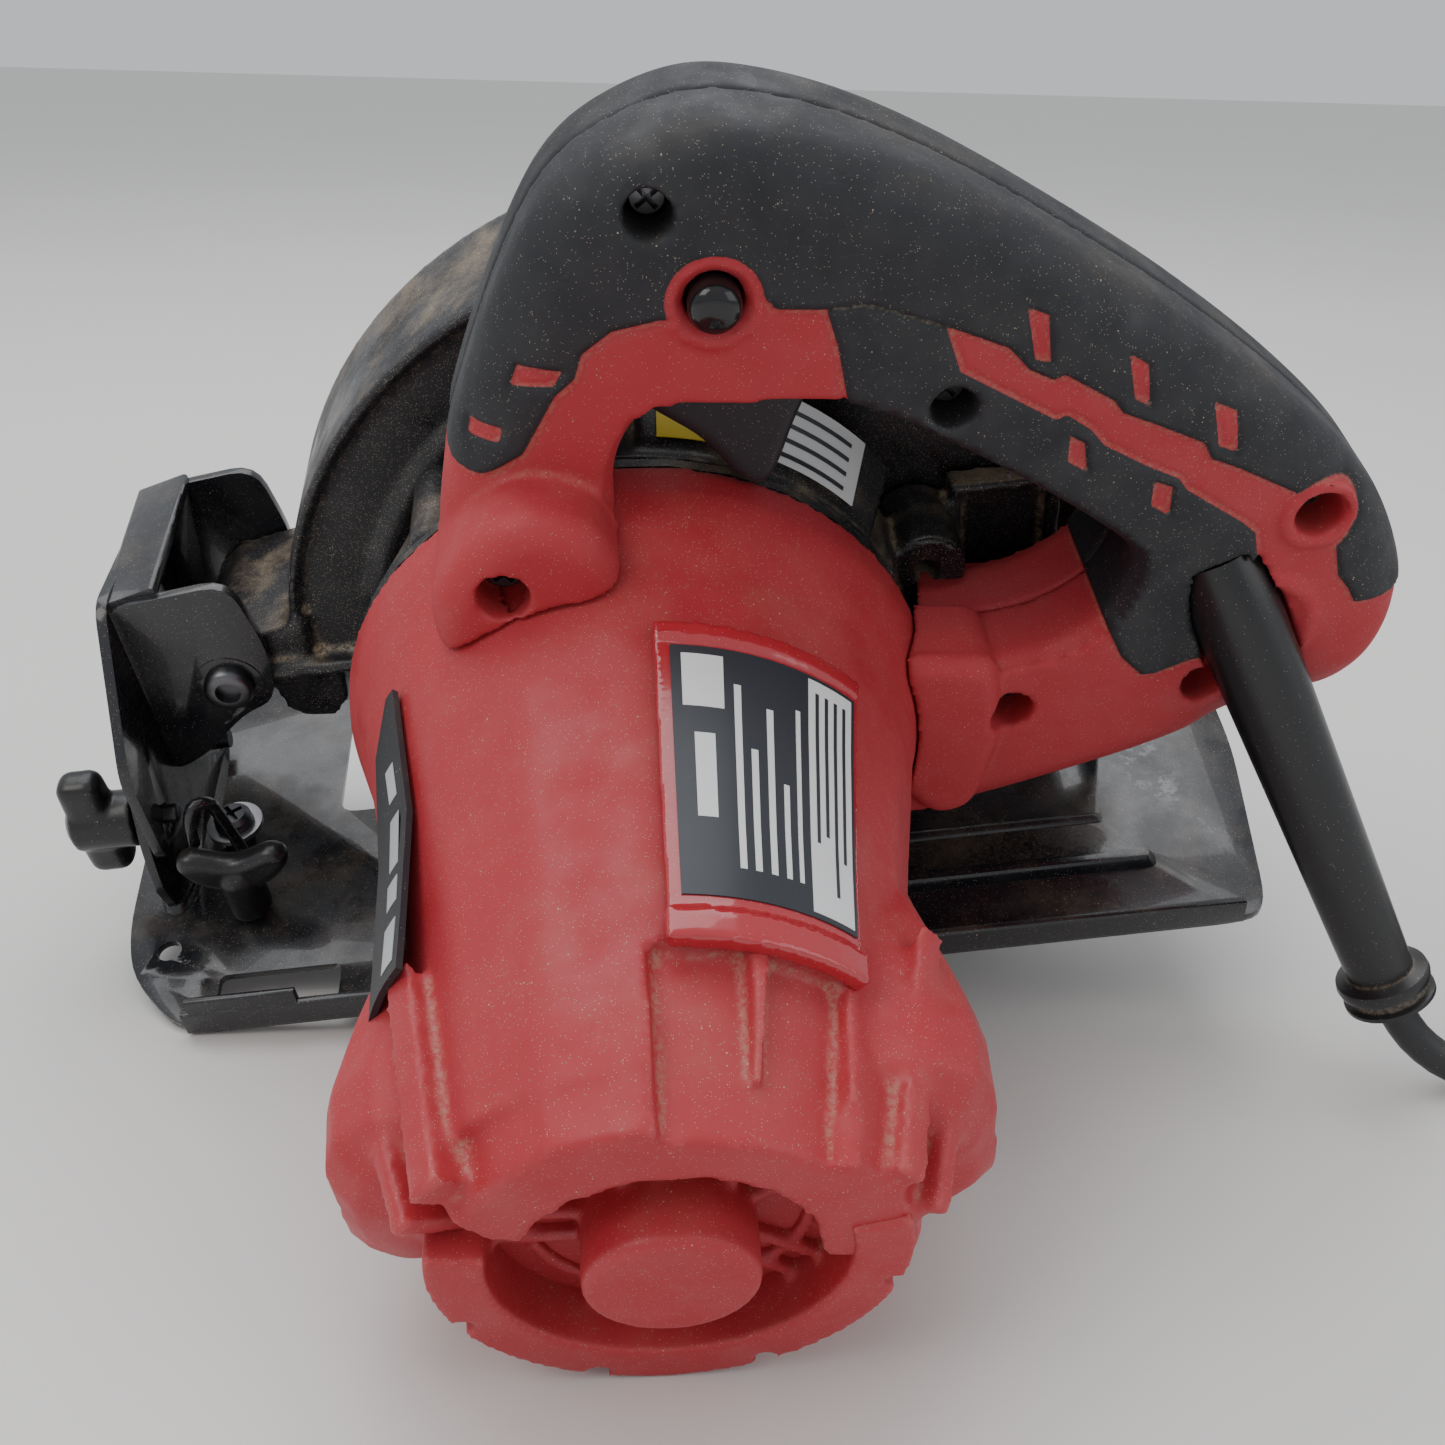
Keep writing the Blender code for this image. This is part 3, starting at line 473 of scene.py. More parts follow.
def dusted(surface, colour, film, grains, corners):
    """Sawdust over a colour: a thin film on top faces, grains, and more in the corners."""
    patch = surface.step(surface.noise(55, 6.0, 0.65), 0.42, 0.72)
    film_share = surface.math("MULTIPLY", surface.math("MULTIPLY", surface.facing_up(), patch), film)
    colour = surface.mix(film_share, colour, SAWDUST)
    hollow = surface.step(surface.pointiness(), 0.488, 0.462)
    hollow = surface.math("MULTIPLY", hollow, surface.step(surface.noise(900, 4.0, 0.7), 0.36, 0.6))
    colour = surface.mix(surface.math("MULTIPLY", hollow, corners), colour, SAWDUST)
    thick = surface.math("MULTIPLY", surface.specks(1500, 1.0 - 0.7 * grains), patch)
    colour = surface.mix(thick, colour, PALE_GRAIN)
    fine = surface.specks(3000, 1.0 - 1.6 * grains)
    return surface.mix(surface.math("MULTIPLY", fine, 0.8), colour, FINE_GRAIN)


def red_plastic():
    s = Surface("red_plastic", 0.5)
    colour = s.blotches(RED, 0.10, 22)
    worn = s.step(s.pointiness(), 0.525, 0.56)
    colour = s.mix(s.math("MULTIPLY", worn, 0.35), colour, (0.55, 0.10, 0.10))
    colour = dusted(s, colour, 0.10, 0.10, 0.36)
    s.bump(s.noise(2300, 2.0, 0.6), 0.35, 0.06)
    s.bump(s.noise(240, 3.0, 0.5), 0.10, 0.12)
    s.feed(s.shader.inputs["Roughness"], s.step(s.noise(90, 4.0), -0.6, 1.5))
    return s.done(colour)


def grip_material():
    """Red shell with a charcoal overmould: the mesh carries the distance to its border."""
    s = Surface("red_and_charcoal_grip", 0.55)
    red = s.blotches(RED, 0.10, 22)
    dark = s.blotches(CHARCOAL, 0.22, 26)
    scuff = s.step(s.noise(1.0, 6.0, 0.7, s.stretched(60, 60, 420)), 0.62, 0.78)
    dark = s.mix(s.math("MULTIPLY", scuff, 0.10), dark, (0.22, 0.24, 0.28))
    zone = s.step(s.attribute("overmould"), -0.12, 0.12)
    colour = s.mix(zone, red, dark)
    colour = dusted(s, colour, 0.07, 0.07, 0.25)
    s.bump(s.noise(1500, 3.0, 0.6), 0.4, 0.08)
    s.feed(s.shader.inputs["Roughness"], s.step(s.noise(120, 4.0), -0.9, 1.5))
    return s.done(colour)


def charcoal_plastic(name="charcoal_plastic", colour=CHARCOAL, roughness=0.5, grains=0.05):
    s = Surface(name, roughness)
    shade = dusted(s, s.blotches(colour, 0.25, 40), 0.08, grains, 0.3)
    s.bump(s.noise(1500, 3.0, 0.6), 0.3, 0.06)
    return s.done(shade)


def painted(name, roughness, film, grains, corners, coat=0.0):
    s = Surface(name, roughness, 0.0, coat)
    colour = s.blotches(INK, 0.25, 35)
    chips = s.math("MULTIPLY", s.step(s.pointiness(), 0.56, 0.62), s.step(s.noise(150, 4.0, 0.7), 0.5, 0.6))
    colour = s.mix(chips, colour, (0.20, 0.20, 0.21))
    colour = dusted(s, colour, film, grains, corners)
    s.bump(s.noise(700, 3.0, 0.55), 0.2, 0.10)
    sheen = s.step(s.noise(60, 5.0, 0.65), 0.35 - 1.1 * roughness, 1.7 - roughness)
    s.feed(s.shader.inputs["Roughness"], sheen)
    return s.done(colour)


def metal(name, colour, roughness, stretch=(30, 30, 900), scratches=0.12):
    s = Surface(name, roughness, 1.0)
    lines = s.noise(1.0, 4.0, 0.6, s.stretched(*stretch))
    shade = s.mix(s.step(lines, 0.3, 0.75), tuple(c * 0.78 for c in colour), colour)
    shade = s.mix(s.math("MULTIPLY", s.step(s.noise(70, 5.0, 0.65), 0.5, 0.8), 0.35), shade,
                  tuple(c * 0.45 for c in colour))
    s.bump(lines, scratches, 0.05)
    return s.done(shade)


def glossy_panel():
    s = Surface("glossy_red", 0.16, 0.0, 0.6)
    colour = s.blotches((0.42, 0.022, 0.032), 0.05, 30)
    colour = dusted(s, colour, 0.05, 0.04, 0.2)
    return s.done(colour)


def printed(name, colour, roughness=0.35):
    s = Surface(name, roughness)
    worn = s.step(s.noise(900, 4.0, 0.7), 0.66, 0.75)
    faded = tuple(c * 0.6 + 0.1 for c in colour)
    return s.done(s.mix(s.math("MULTIPLY", worn, 0.35), s.blotches(colour, 0.05, 80), faded))


def rubber():
    s = Surface("lead_rubber", 0.45)
    colour = dusted(s, s.blotches((0.014, 0.015, 0.017), 0.2, 60), 0.03, 0.02, 0.2)
    s.bump(s.noise(900, 2.0, 0.5), 0.15, 0.05)
    return s.done(colour)


LOOKS = {
    "red": red_plastic(),
    "grip": grip_material(),
    "charcoal": charcoal_plastic(),
    "black": charcoal_plastic("black_plastic", (0.010, 0.0105, 0.012), 0.32, 0.03),
    "button": charcoal_plastic("button_gloss", (0.008, 0.008, 0.009), 0.12, 0.01),
    "cast": painted("black_cast", 0.42, 0.55, 0.30, 0.9),
    "paint": painted("black_paint", 0.28, 0.12, 0.08, 0.4, 0.3),
    "steel": metal("machined_steel", (0.55, 0.55, 0.56), 0.35),
    "dark_steel": metal("dark_steel", (0.16, 0.16, 0.17), 0.38),
    "blade": metal("blade_steel", (0.60, 0.60, 0.61), 0.28, (900, 900, 40)),
    "zinc": metal("zinc_plate", (0.68, 0.69, 0.72), 0.26, (120, 120, 120), 0.06),
    "aluminium": metal("die_casting", (0.60, 0.61, 0.62), 0.45, (300, 300, 300), 0.2),
    "copper": metal("copper_winding", (0.62, 0.27, 0.14), 0.4, (30, 900, 30), 0.4),
    "brass": metal("brass", (0.70, 0.52, 0.24), 0.32),
    "gloss": glossy_panel(),
    "white": printed("label_white", (0.72, 0.72, 0.72)),
    "yellow": printed("label_yellow", (0.72, 0.55, 0.03)),
    "dark_print": printed("label_charcoal", (0.03, 0.033, 0.04), 0.3),
    "silver_print": printed("label_silver", (0.42, 0.43, 0.44), 0.3),
    "rubber": rubber(),
}


# ---- Camera, floor and light ------------------------------------------------------------

def camera():
    """Wide view from in front of the motor end, looking down at the saw."""
    place = (-0.0218, -0.3292, 0.2345)
    pan, down, lean = math.radians(-3.29), math.radians(23.97), 0.0295
    data = bpy.data.cameras.new("camera")
    data.sensor_width = 36.0
    data.lens = 39.5
    data.clip_start = 0.01
    obj = bpy.data.objects.new("camera", data)
    bpy.context.scene.collection.objects.link(obj)
    turn = Matrix.Rotation(pan, 4, "Z") @ Matrix.Rotation(math.pi / 2 - down, 4, "X") \
        @ Matrix.Rotation(lean, 4, "Z")
    obj.matrix_world = Matrix.Translation(place) @ turn
    bpy.context.scene.camera = obj


def studio_floor():
    bm = bmesh.new()
    bmesh.ops.create_grid(bm, x_segments=8, y_segments=8, size=6.0)
    obj = mesh_object("floor", bm, Matrix.Identity(4))
    s = Surface("pale_floor", 0.55)
    s.bump(s.noise(300, 3.0), 0.03, 0.1)
    obj.data.materials.append(s.done(s.blotches((0.74, 0.72, 0.69), 0.03, 4)))


def lamp(name, place, aim, size, watts, colour=(1, 1, 1)):
    data = bpy.data.lights.new(name, "AREA")
    data.shape = "RECTANGLE"
    data.size, data.size_y = size
    data.energy = watts
    data.color = colour
    obj = bpy.data.objects.new(name, data)
    obj.location = place
    obj.rotation_euler = (Vector(aim) - Vector(place)).to_track_quat("-Z", "Y").to_euler()
    bpy.context.scene.collection.objects.link(obj)


def studio():
    world = bpy.data.worlds.new("studio")
    bpy.context.scene.world = world
    world.use_nodes = True
    back = world.node_tree.nodes["Background"]
    back.inputs["Color"].default_value = (0.86, 0.89, 0.93, 1)
    back.inputs["Strength"].default_value = 0.74
    lamp("sky", (-0.2, 0.5, 1.6), (0, 0, 0.1), (1.8, 1.4), 20, (0.95, 0.97, 1.0))
    lamp("key", (-0.9, -0.7, 1.2), (0, 0, 0.1), (0.8, 0.8), 7, (1.0, 0.97, 0.93))
    lamp("fill", (1.1, -0.6, 0.7), (0, 0, 0.1), (0.9, 0.9), 3)


camera()
studio_floor()
studio()


# ---- Mains lead -------------------------------------------------------------------------

CORD_D = 8.5
CORD_ROUTE = [(165.2, -18.4, 14.4), (172.1, -19.7, 9.0), (180.2, -21.2, 5.7), (188.8, -22.8, 4.5),
              (204.0, -31.0, 4.5), (220.0, -41.5, 4.5), (239.1, -50.0, 4.5)]
COIL_CENTRE = (282.2, 8.0)
COIL_MIDDLE = (60.75, 35.25)       # outermost and innermost turn, at the middle of the cord
LAYERS = (4.5, 13.0)               # height of the cord's middle in the lower and upper layer
CLIMB_FROM, CLIMB_OVER = 2.8, 0.35 # turn where the cord starts to climb, and turns it takes
TURN_BACK = 3.1                    # turn where the coil stops shrinking and grows again
LAST_TURN = 6.25
PLUG_AT = (350.6, 56.4)


def coil_point(turns):
    """Three turns inwards on the floor, a quick climb, then outwards over them."""
    far, near = COIL_MIDDLE
    climb = min(max((turns - CLIMB_FROM) / CLIMB_OVER, 0.0), 1.0)
    climb = climb * climb * (3 - 2 * climb)
    if turns < TURN_BACK:
        radius = max(far - CORD_D * turns, near)
    else:
        radius = min(near + CORD_D * (turns - TURN_BACK), far + 0.4)
    angle = math.radians(-90 + 360 * turns)
    return Vector((COIL_CENTRE[0] + radius * math.cos(angle), COIL_CENTRE[1] + radius * math.sin(angle),
                   LAYERS[0] + (LAYERS[1] - LAYERS[0]) * climb))


def smooth_route(points, step):
    ends = [points[0] * 2 - points[1], *points, points[-1] * 2 - points[-2]]
    route = []
    for i in range(1, len(ends) - 2):
        a, b, c, d = ends[i - 1:i + 3]
        count = max(1, round((c - b).length / step))
        route += [catmull_rom(a, b, c, d, k / count) for k in range(count)]
    return [*route, points[-1]]


def power_cord():
    tip = (SAW @ RELIEF_TIP) / MM
    way = (tip - (SAW @ RELIEF_ROOT) / MM).normalized()
    start = tip + way * 0.3
    turns = [coil_point(LAST_TURN * i / 150) for i in range(1, 151)]
    x, y = PLUG_AT
    tail = [Vector((turns[-1].x + 2.2, 6.0, 12.0)), Vector((x - 0.6, 20.0, 10.0)), Vector((x, y - 12.3, 9.6))]
    lead = smooth_route([start, start + way * 4] + [Vector(p) for p in CORD_ROUTE] + [coil_point(0)], 5.0)
    route = lead + turns + smooth_route([turns[-1], *tail], 5.0)[1:]
    curve = bpy.data.curves.new("lead", "CURVE")
    curve.dimensions = "3D"
    curve.bevel_depth = CORD_D / 2 * MM
    curve.bevel_resolution = 6
    curve.use_fill_caps = True
    spline = curve.splines.new("POLY")
    spline.points.add(len(route) - 1)
    for target, point in zip(spline.points, route):
        target.co = (*(point * MM), 1.0)
    spline.use_smooth = True
    obj = bpy.data.objects.new("lead", curve)
    bpy.context.scene.collection.objects.link(obj)
    curve.materials.append(LOOKS["rubber"])
    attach(obj, "saw_body")
    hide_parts("power_cord", "cord_coil")
    length = sum((b - a).length for a, b in zip(route, route[1:])) * MM
    return obj, start * MM, length


def coil_tie():
    """Hook-and-loop strap round one side of the coil."""
    middle = rect((30.0, 66.0), (2.0, 18.2))
    rounded = spline_outline([p for a, b in zip(middle, middle[1:] + middle[:1])
                              for p in (tuple(0.88 * np.array(a) + 0.12 * np.array(b)),
                                        tuple(0.12 * np.array(a) + 0.88 * np.array(b)))], 3.0)
    rings = [[(COIL_CENTRE[0] + side, COIL_CENTRE[1] + r, z) for r, z in inset(rounded, -out)]
             for side, out in rect((-8, 8), (0.0, 1.2))]
    obj = smooth(mesh_object("coil_tie", loft(rings, closed=True), FLOOR))
    return piece(obj, "charcoal", "saw_body", slot="cord_rubber")


def plug():
    x, y = PLUG_AT
    outline = [(x - 6, y - 12), (x + 6, y - 12), (x + 8, y - 6), (x + 11, y - 1), (x + 12, y + 8),
               (x + 12, y + 18), (x - 12, y + 18), (x - 12, y + 8), (x - 11, y - 1), (x - 8, y - 6)]
    body = moulded("plug_body", [pillow(outline, 0.4, 19.0, 3.5, "XY")], passes=4, transform=FLOOR)
    piece(body, "black", "saw_body", "plug", slot="cord_rubber")
    blades = []
    for side in (-6.35, 6.35):
        blank = box((x + side - 0.8, x + side + 0.8), (y + 16, y + 35), (6.3, 12.7))
        hole = rod((y + 31, 9.5), 1.6, x + side - 3, x + side + 3, "YZ", 20)
        blade = combined(f"plug_blade_{'left' if side < 0 else 'right'}", blank, minus=[hole],
                         transform=FLOOR)
        blades.append(piece(blade, "brass", "saw_body"))
    return [body, *blades]


lead, exit_point, lead_length = power_cord()
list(plug())
coil_tie()

# ---- Two-shell handle -------------------------------------------------------------------

OUTER_EDGE = [(-40, 100), (-44, 116), (-40, 138), (-31, 160), (-19, 183), (-9, 196), (3, 203), (16, 206),
              (29, 204), (45, 198), (63, 188), (85, 173), (109, 155), (133, 134), (151, 114), (161, 94),
              (163, 80), (160, 68), (152, 60), (140, 57), (128, 54), (119, 48), (100, 41), (66, 32), (46, 30)]
INNER_EDGE = [(46, 82), (76, 80), (92, 86), (99, 95), (101, 104), (98, 110), (76, 128), (48, 147), (34, 151),
              (14, 153), (2, 152), (-5, 141), (-6, 125), (-2, 112), (2, 98)]
GRIP_TOP = [(-60, 149), (-39, 149), (-36, 145), (-31, 144), (-28, 145), (-26, 146), (-22, 148), (-20, 151),
            (-18, 154), (-14, 160), (-10, 163), (-8, 168), (-2, 172), (12, 174), (14, 177), (18, 180),
            (21, 180), (24, 179), (26, 176), (28, 173), (36, 172), (45, 172), (59, 166), (71, 160), (75, 155),
            (80, 152), (82, 153), (92, 146), (94, 143), (100, 140), (111, 134), (113, 130), (119, 127),
            (134, 118), (137, 120), (143, 116), (145, 112), (145, 107), (143, 104), (145, 96), (148, 92),
            (150, 88), (180, 88), (180, 215), (-60, 215)]
GRIP_LOWER = [(37, 172.5), (45, 172), (59, 166), (62, 156), (81, 143), (83, 144), (88, 140), (91, 136),
              (100, 130), (107, 126), (109, 123), (122, 113), (125, 110), (127, 101), (122, 100), (117, 97),
              (115, 92), (118, 77), (108, 73), (105, 73), (100, 79), (93, 95), (85, 98), (60, 125), (41, 141),
              (41, 149), (39, 164)]
GRIP_WINDOWS = [[(74, 168), (78, 166), (79, 156), (76, 157)], [(94, 156), (98, 153), (99, 144), (96, 146)],
                [(112, 143), (117, 140), (118, 131), (114, 133)],
                [(84, 139), (87, 137), (88, 130), (84, 133)],
                [(102, 126), (106, 124), (106, 117), (102, 120)],
                [(-20, 167), (-12, 165), (-14, 162), (-22, 163)],
                [(-31, 155), (-25, 154), (-26, 151), (-32, 152)]]
GRIP_SEAM = [(37, 172), (45, 172), (59, 166)]
HANDLE_SCREWS = [(7, 193), (61, 148), (138, 113), (76, 66)]
LOBE_SCREW = (-29, 127)
LOBE = [(-42, 128), (-44, 114), (-38, 104), (-29, 101), (-18, 104), (-10, 113), (-6, 124), (-10, 138),
        (-26, 143)]
ARM_ROOT = [(50, 86), (72, 84), (74, 60), (68, 38), (58, 36), (48, 50)]
LOCK_BUTTON = (17, 176)
TRIGGER_PIVOT = (40, 163)
TRIGGER_TRAVEL = 8.0


def distance_to(points, line, closed=True):
    """Distance of 2-D points to a line of corners, and whether each lies inside it."""
    corners = np.array(line, float)
    ends = np.roll(corners, -1, 0) if closed else corners[1:]
    starts = corners if closed else corners[:-1]
    best = np.full(len(points), 1e9)
    inside = np.zeros(len(points), bool)
    for a, b in zip(starts, ends):
        along = b - a
        share = np.clip(((points - a) @ along) / (along @ along), 0, 1)
        best = np.minimum(best, np.linalg.norm(points - a - share[:, None] * along, axis=1))
        if closed and a[1] != b[1]:
            crosses = (a[1] > points[:, 1]) != (b[1] > points[:, 1])
            inside ^= crosses & (points[:, 0] < (b[0] - a[0]) * (points[:, 1] - a[1]) / (b[1] - a[1]) + a[0])
    return best, inside


def signed(points, line):
    best, inside = distance_to(points, line)
    return np.where(inside, best, -best)


def overmould(points):
    """Millimetres inside (positive) or outside the charcoal grip zones."""
    value = np.maximum(signed(points, GRIP_TOP), signed(points, GRIP_LOWER))
    for window in GRIP_WINDOWS:
        value = np.minimum(value, -signed(points, window))
    for centre, reach in ((LOCK_BUTTON, 9.0), (HANDLE_SCREWS[2], 8.5)):
        value = np.minimum(value, np.linalg.norm(points - np.array(centre), axis=1) - reach)
    seam = distance_to(points, GRIP_SEAM, closed=False)[0]
    return np.minimum(value, seam + 0.1)


def rounded_shell(edges, radii, face_y, seam_y, steps=6):
    """Half shell from its face to its seam; each edge has its own rounding."""
    outline = [p for edge in edges for p in edge]
    reach = np.concatenate([np.full(len(edge), float(r)) for edge, r in zip(edges, radii)])
    for _ in range(6):
        reach = (np.roll(reach, 1) + reach + np.roll(reach, -1)) / 3
    side = 1 if seam_y > face_y else -1
    full = np.array(outline)
    inner = np.array(inset(outline, 1.0)) - full
    rings = []
    for i in range(steps + 1):
        a = math.pi / 2 * i / steps
        ring = full + inner * (reach * (1 - math.sin(a)))[:, None]
        depth = face_y + side * reach * (1 - math.cos(a))
        rings.append([(u, y, w) for (u, w), y in zip(ring, depth)])
    rings.append([(u, seam_y, w) for u, w in full])
    return loft(rings)


def along_relief(stations, shift=0.0, steps=40):
    """Round solid along the strain relief, from (distance, radius) stations."""
    way = (RELIEF_TIP - RELIEF_ROOT).normalized()
    side = way.cross(Vector((0, 1, 0))).normalized()
    up = side.cross(way)
    return loft([[RELIEF_ROOT + way * (distance + shift) + side * (radius * c) + up * (radius * s)
                  for c, s in circle((0, 0), 1.0, steps)] for distance, radius in stations])


def about(centre, point, angle):
    """Point turned about a centre."""
    u, v = point[0] - centre[0], point[1] - centre[1]
    return polar(centre, math.hypot(u, v), math.degrees(math.atan2(v, u)) + angle)


def trigger_outline(m=0.0):
    """Outline of the trigger, with a margin for the slot it runs in."""
    return [(48 + m, 158 - m), (48 + m, 170 + m), (30, 172 + m), (8 - m, 168 + m), (-1 - m, 156),
            (1 - m, 149 - m), (12, 139 - m), (20, 128 - m), (26 + m, 128 - m), (32 + m, 142),
            (38 + m, 153 - m)]


def handle_shell(name, near):
    """One half of the handle: red shell with the charcoal grip moulded over it."""
    face = NEAR_Y if near else 2 * SEAM_Y - NEAR_Y
    seam = SEAM_Y - 0.15 if near else SEAM_Y + 0.15
    outer, inner = (spline_outline(edge, 2.0, closed=False) for edge in (OUTER_EDGE, INNER_EDGE))
    plus = []
    late = []
    minus = [loft([[(x, y, z) for x, z in circle(MOTOR, housing_radius(y) + 0.4, 72)]
                   for y in (-116, -100, -90, -73, -65, -30)])]
    for pull in (0.0, TRIGGER_TRAVEL):
        slot = [about(TRIGGER_PIVOT, p, -pull) for p in trigger_outline(2.5)]
        minus.append(prism(slot, -73, -51))
    minus.append(along_relief([(0, 10.5), (62, 10.5)], -6))
    if near:
        plus.append(pillow(spline_outline(LOBE, 2.0), -99, -66, 7.0, steps=6, far_rim=False))
        plus.append(pillow(filleted(ARM_ROOT, 6), -86, -64, 4.0, steps=4, far_rim=False))
        plus.append(ring_solid((129, 84), 10.8, 13.6, face - 1.2, face + 4))
        for place, low, high in ((LOCK_BUTTON, 7.2, 9.2), (HANDLE_SCREWS[2], 5.8, 8.2)):
            late.append(ring_solid(place, low, high, face - 1.0, face + 3))
        minus.append(turned([(0, -88), (5.0, -88), (5.8, -112), (0, -112)], LOBE_SCREW, steps=32,
                            closed=False))
        for place in HANDLE_SCREWS + [(120, 68)]:
            minus.append(turned([(0, -70.8), (4.9, -70.8), (5.5, face - 12), (0, face - 12)], place, steps=32,
                                closed=False))
        minus.append(rod(LOCK_BUTTON, 5.6, -110, -60))
        for start, end in (((22, 197), (14, 188)), ((26, 196), (16, 184)), ((30, 194), (20, 184)),
                           ((33, 192), (24, 183)), ((38, 191), (32, 186))):
            minus.append(stroke(start, end, 0.9, face - 2, face + 0.9))
    body = moulded(name, [rounded_shell((outer, inner), (11, 6), face, seam), *plus], minus, late, 0.85, 2)
    relief_and_zone(body)
    return piece(body, "grip", "saw_body", name)


def relief_and_zone(obj):
    """Write the grip zones on the vertices and let the grip stand a little proud."""
    mesh = obj.data
    count = len(mesh.vertices)
    places = np.empty(count * 3)
    mesh.vertices.foreach_get("co", places)
    places = places.reshape(-1, 3)
    back = np.array(SAW.inverted())
    local = places @ back[:3, :3].T + back[:3, 3]
    value = overmould(local[:, [0, 2]])
    normals = np.empty(count * 3)
    mesh.vertices.foreach_get("normal", normals)
    raised, groove, groove_wide = 0.7, 0.5, 0.7
    proud = raised * np.clip(value + 0.3, 0, 1) - groove * np.exp(-((value + 0.4) / groove_wide) ** 2)
    places = places + normals.reshape(-1, 3) * (proud * MM)[:, None]
    mesh.vertices.foreach_set("co", places.ravel())
    mesh.attributes.new("overmould", "FLOAT", "POINT").data.foreach_set("value", value)
    mesh.update()


# ---- Motor housing ----------------------------------------------------------------------

HOUSING_RADII = [(-65.0, 67.0), (-73.0, 66.0), (-90.0, 60.5), (-110.0, 57.0), (-126.0, 54.0),
                 (-150.0, 50.0), (-176.0, 46.5), (-190.0, 45.0), (-196.0, 44.0)]
FACETS = [-160, -125, -90, -62, -42, -20, 2, 26, 50, 72, 96, 125, 160]    # from upright, to the rear
FACETS_FROM, FACETS_OVER = -85.0, 40.0    # y where the facets begin, and how soon they are full
HOUSING_FLAT = 40.0                       # depth of the flat underside below the motor axis
FLAT_TO = -120
BRUSH_Y = -176.0


def housing_radius(y):
    for (y0, r0), (y1, r1) in zip(HOUSING_RADII, HOUSING_RADII[1:]):
        if y >= y1:
            return r0 + (r1 - r0) * (y0 - y) / (y0 - y1)
    return HOUSING_RADII[-1][1]


def facet_radius(tilt):
    """Radius of a unit outline with corners at FACETS, at an angle from upright."""
    corners = FACETS + [FACETS[0] + 360]
    tilt = (tilt - FACETS[0]) % 360 + FACETS[0]
    for a, b in zip(corners, corners[1:]):
        if a <= tilt <= b:
            half = math.radians(b - a) / 2
            return math.cos(half) / math.cos(math.radians(tilt - a) - half)
    return 1.0


def housing_ring(y, shrink=0.0, steps=96):
    """Round at the flange, faceted towards the end, with a flat underside near the base."""
    radius = housing_radius(y) - shrink
    share = min(max((FACETS_FROM - y) / FACETS_OVER, 0.0), 1.0)
    ring = []
    for i in range(steps):
        tilt = 360.0 * i / steps
        reach = radius * (1 + share * (facet_radius(tilt) - 1))
        x, z = polar((0, 0), reach, 90 - tilt)
        floor = -HOUSING_FLAT + shrink if y > FLAT_TO else -90
        ring.append((MOTOR[0] + x, y, MOTOR[1] + max(z, floor)))
    return ring


def tilted(tilt, radius, y):
    """Point at an angle from upright about the motor axis."""
    x, z = polar(MOTOR, radius, 90 - tilt)
    return (x, y, z)


def band(y, inner, outer, tilts, steps):
    """Cross-section of a ring sector about the motor axis, between two angles from upright."""
    return [(x, y, z) for x, z in sector(MOTOR, inner, outer, 90 - tilts[1], 90 - tilts[0], steps)]


def polar_block(tilts, radii, low, high, steps=8):
    """Ring sector about the motor axis, inner radius first; both radii may differ at each end."""
    inner, outer = radii
    return loft([band(low, inner[0], outer[0], tilts, steps), band(high, inner[1], outer[1], tilts, steps)])


def wedge(a, b, c, thick):
    """Triangular rib between three points, of even thickness."""
    a, b, c = (Vector(p) for p in (a, b, c))
    side = (b - a).cross(c - a).normalized() * (thick / 2)
    return loft([[p + side for p in (a, b, c)], [p - side for p in (a, b, c)]])


def hood():
    """Raised lip over the end grille: a faceted arc standing past the housing."""
    corners = [(-66, 31), (-60, 40), (-40, 39), (-22, 41), (2, 41), (3.5, 37.3), (26, 37), (48, 37.3),
               (52, 41), (70, 42), (92, 43), (102, 42)]
    rings = []
    for y, grow in ((-186, 4.5), (-196, 2.6), (-206.0, 0.0)):
        outer = [tilted(t, r + grow, y) for t, r in corners]
        inner = [tilted(t, 26.5, y) for t in (98, 70, 45, 20, -5, -30, -50, -64)]
        rings.append(outer + inner)
    return loft(rings)


def ear(sign):
    """Long cheek along the side of the housing, ending in a rounded brush boss."""
    rings = []
    for y, reach, half in ((-84, 40, 6), (-100, 46, 12), (-120, 48.5, 16), (-140, 53, 18), (-160, 58.5, 19),
                           (-176, 61.5, 20), (-186, 60.5, 19), (-192, 55, 15), (-195, 46, 10)):
        outline = [(22, -half), (reach - 5, -half), (reach, 5 - half), (reach, half * 0.3),
                   (reach - 4, half - 3), (reach - 12, half + 3), (22, half + 8)]
        rings.append([(MOTOR[0] + sign * u, y, MOTOR[1] + v) for u, v in outline])
    return loft(rings)


def ear_opening(sign):
    """Long oval hollow over the brush cap, leaning towards the top."""
    oval = [(-176 + 15 * c, MOTOR[1] + 3 + 9.5 * s) for c, s in circle((0, 0), 1.0, 32)]
    span = sorted((MOTOR[0] + sign * 59.8, MOTOR[0] + sign * 90))
    rings = []
    for x in span:
        lean = 6.0 if abs(x - MOTOR[0]) > 70 else -2.0
        rings.append([(x, y, z + lean) for y, z in oval])
    return loft(rings)


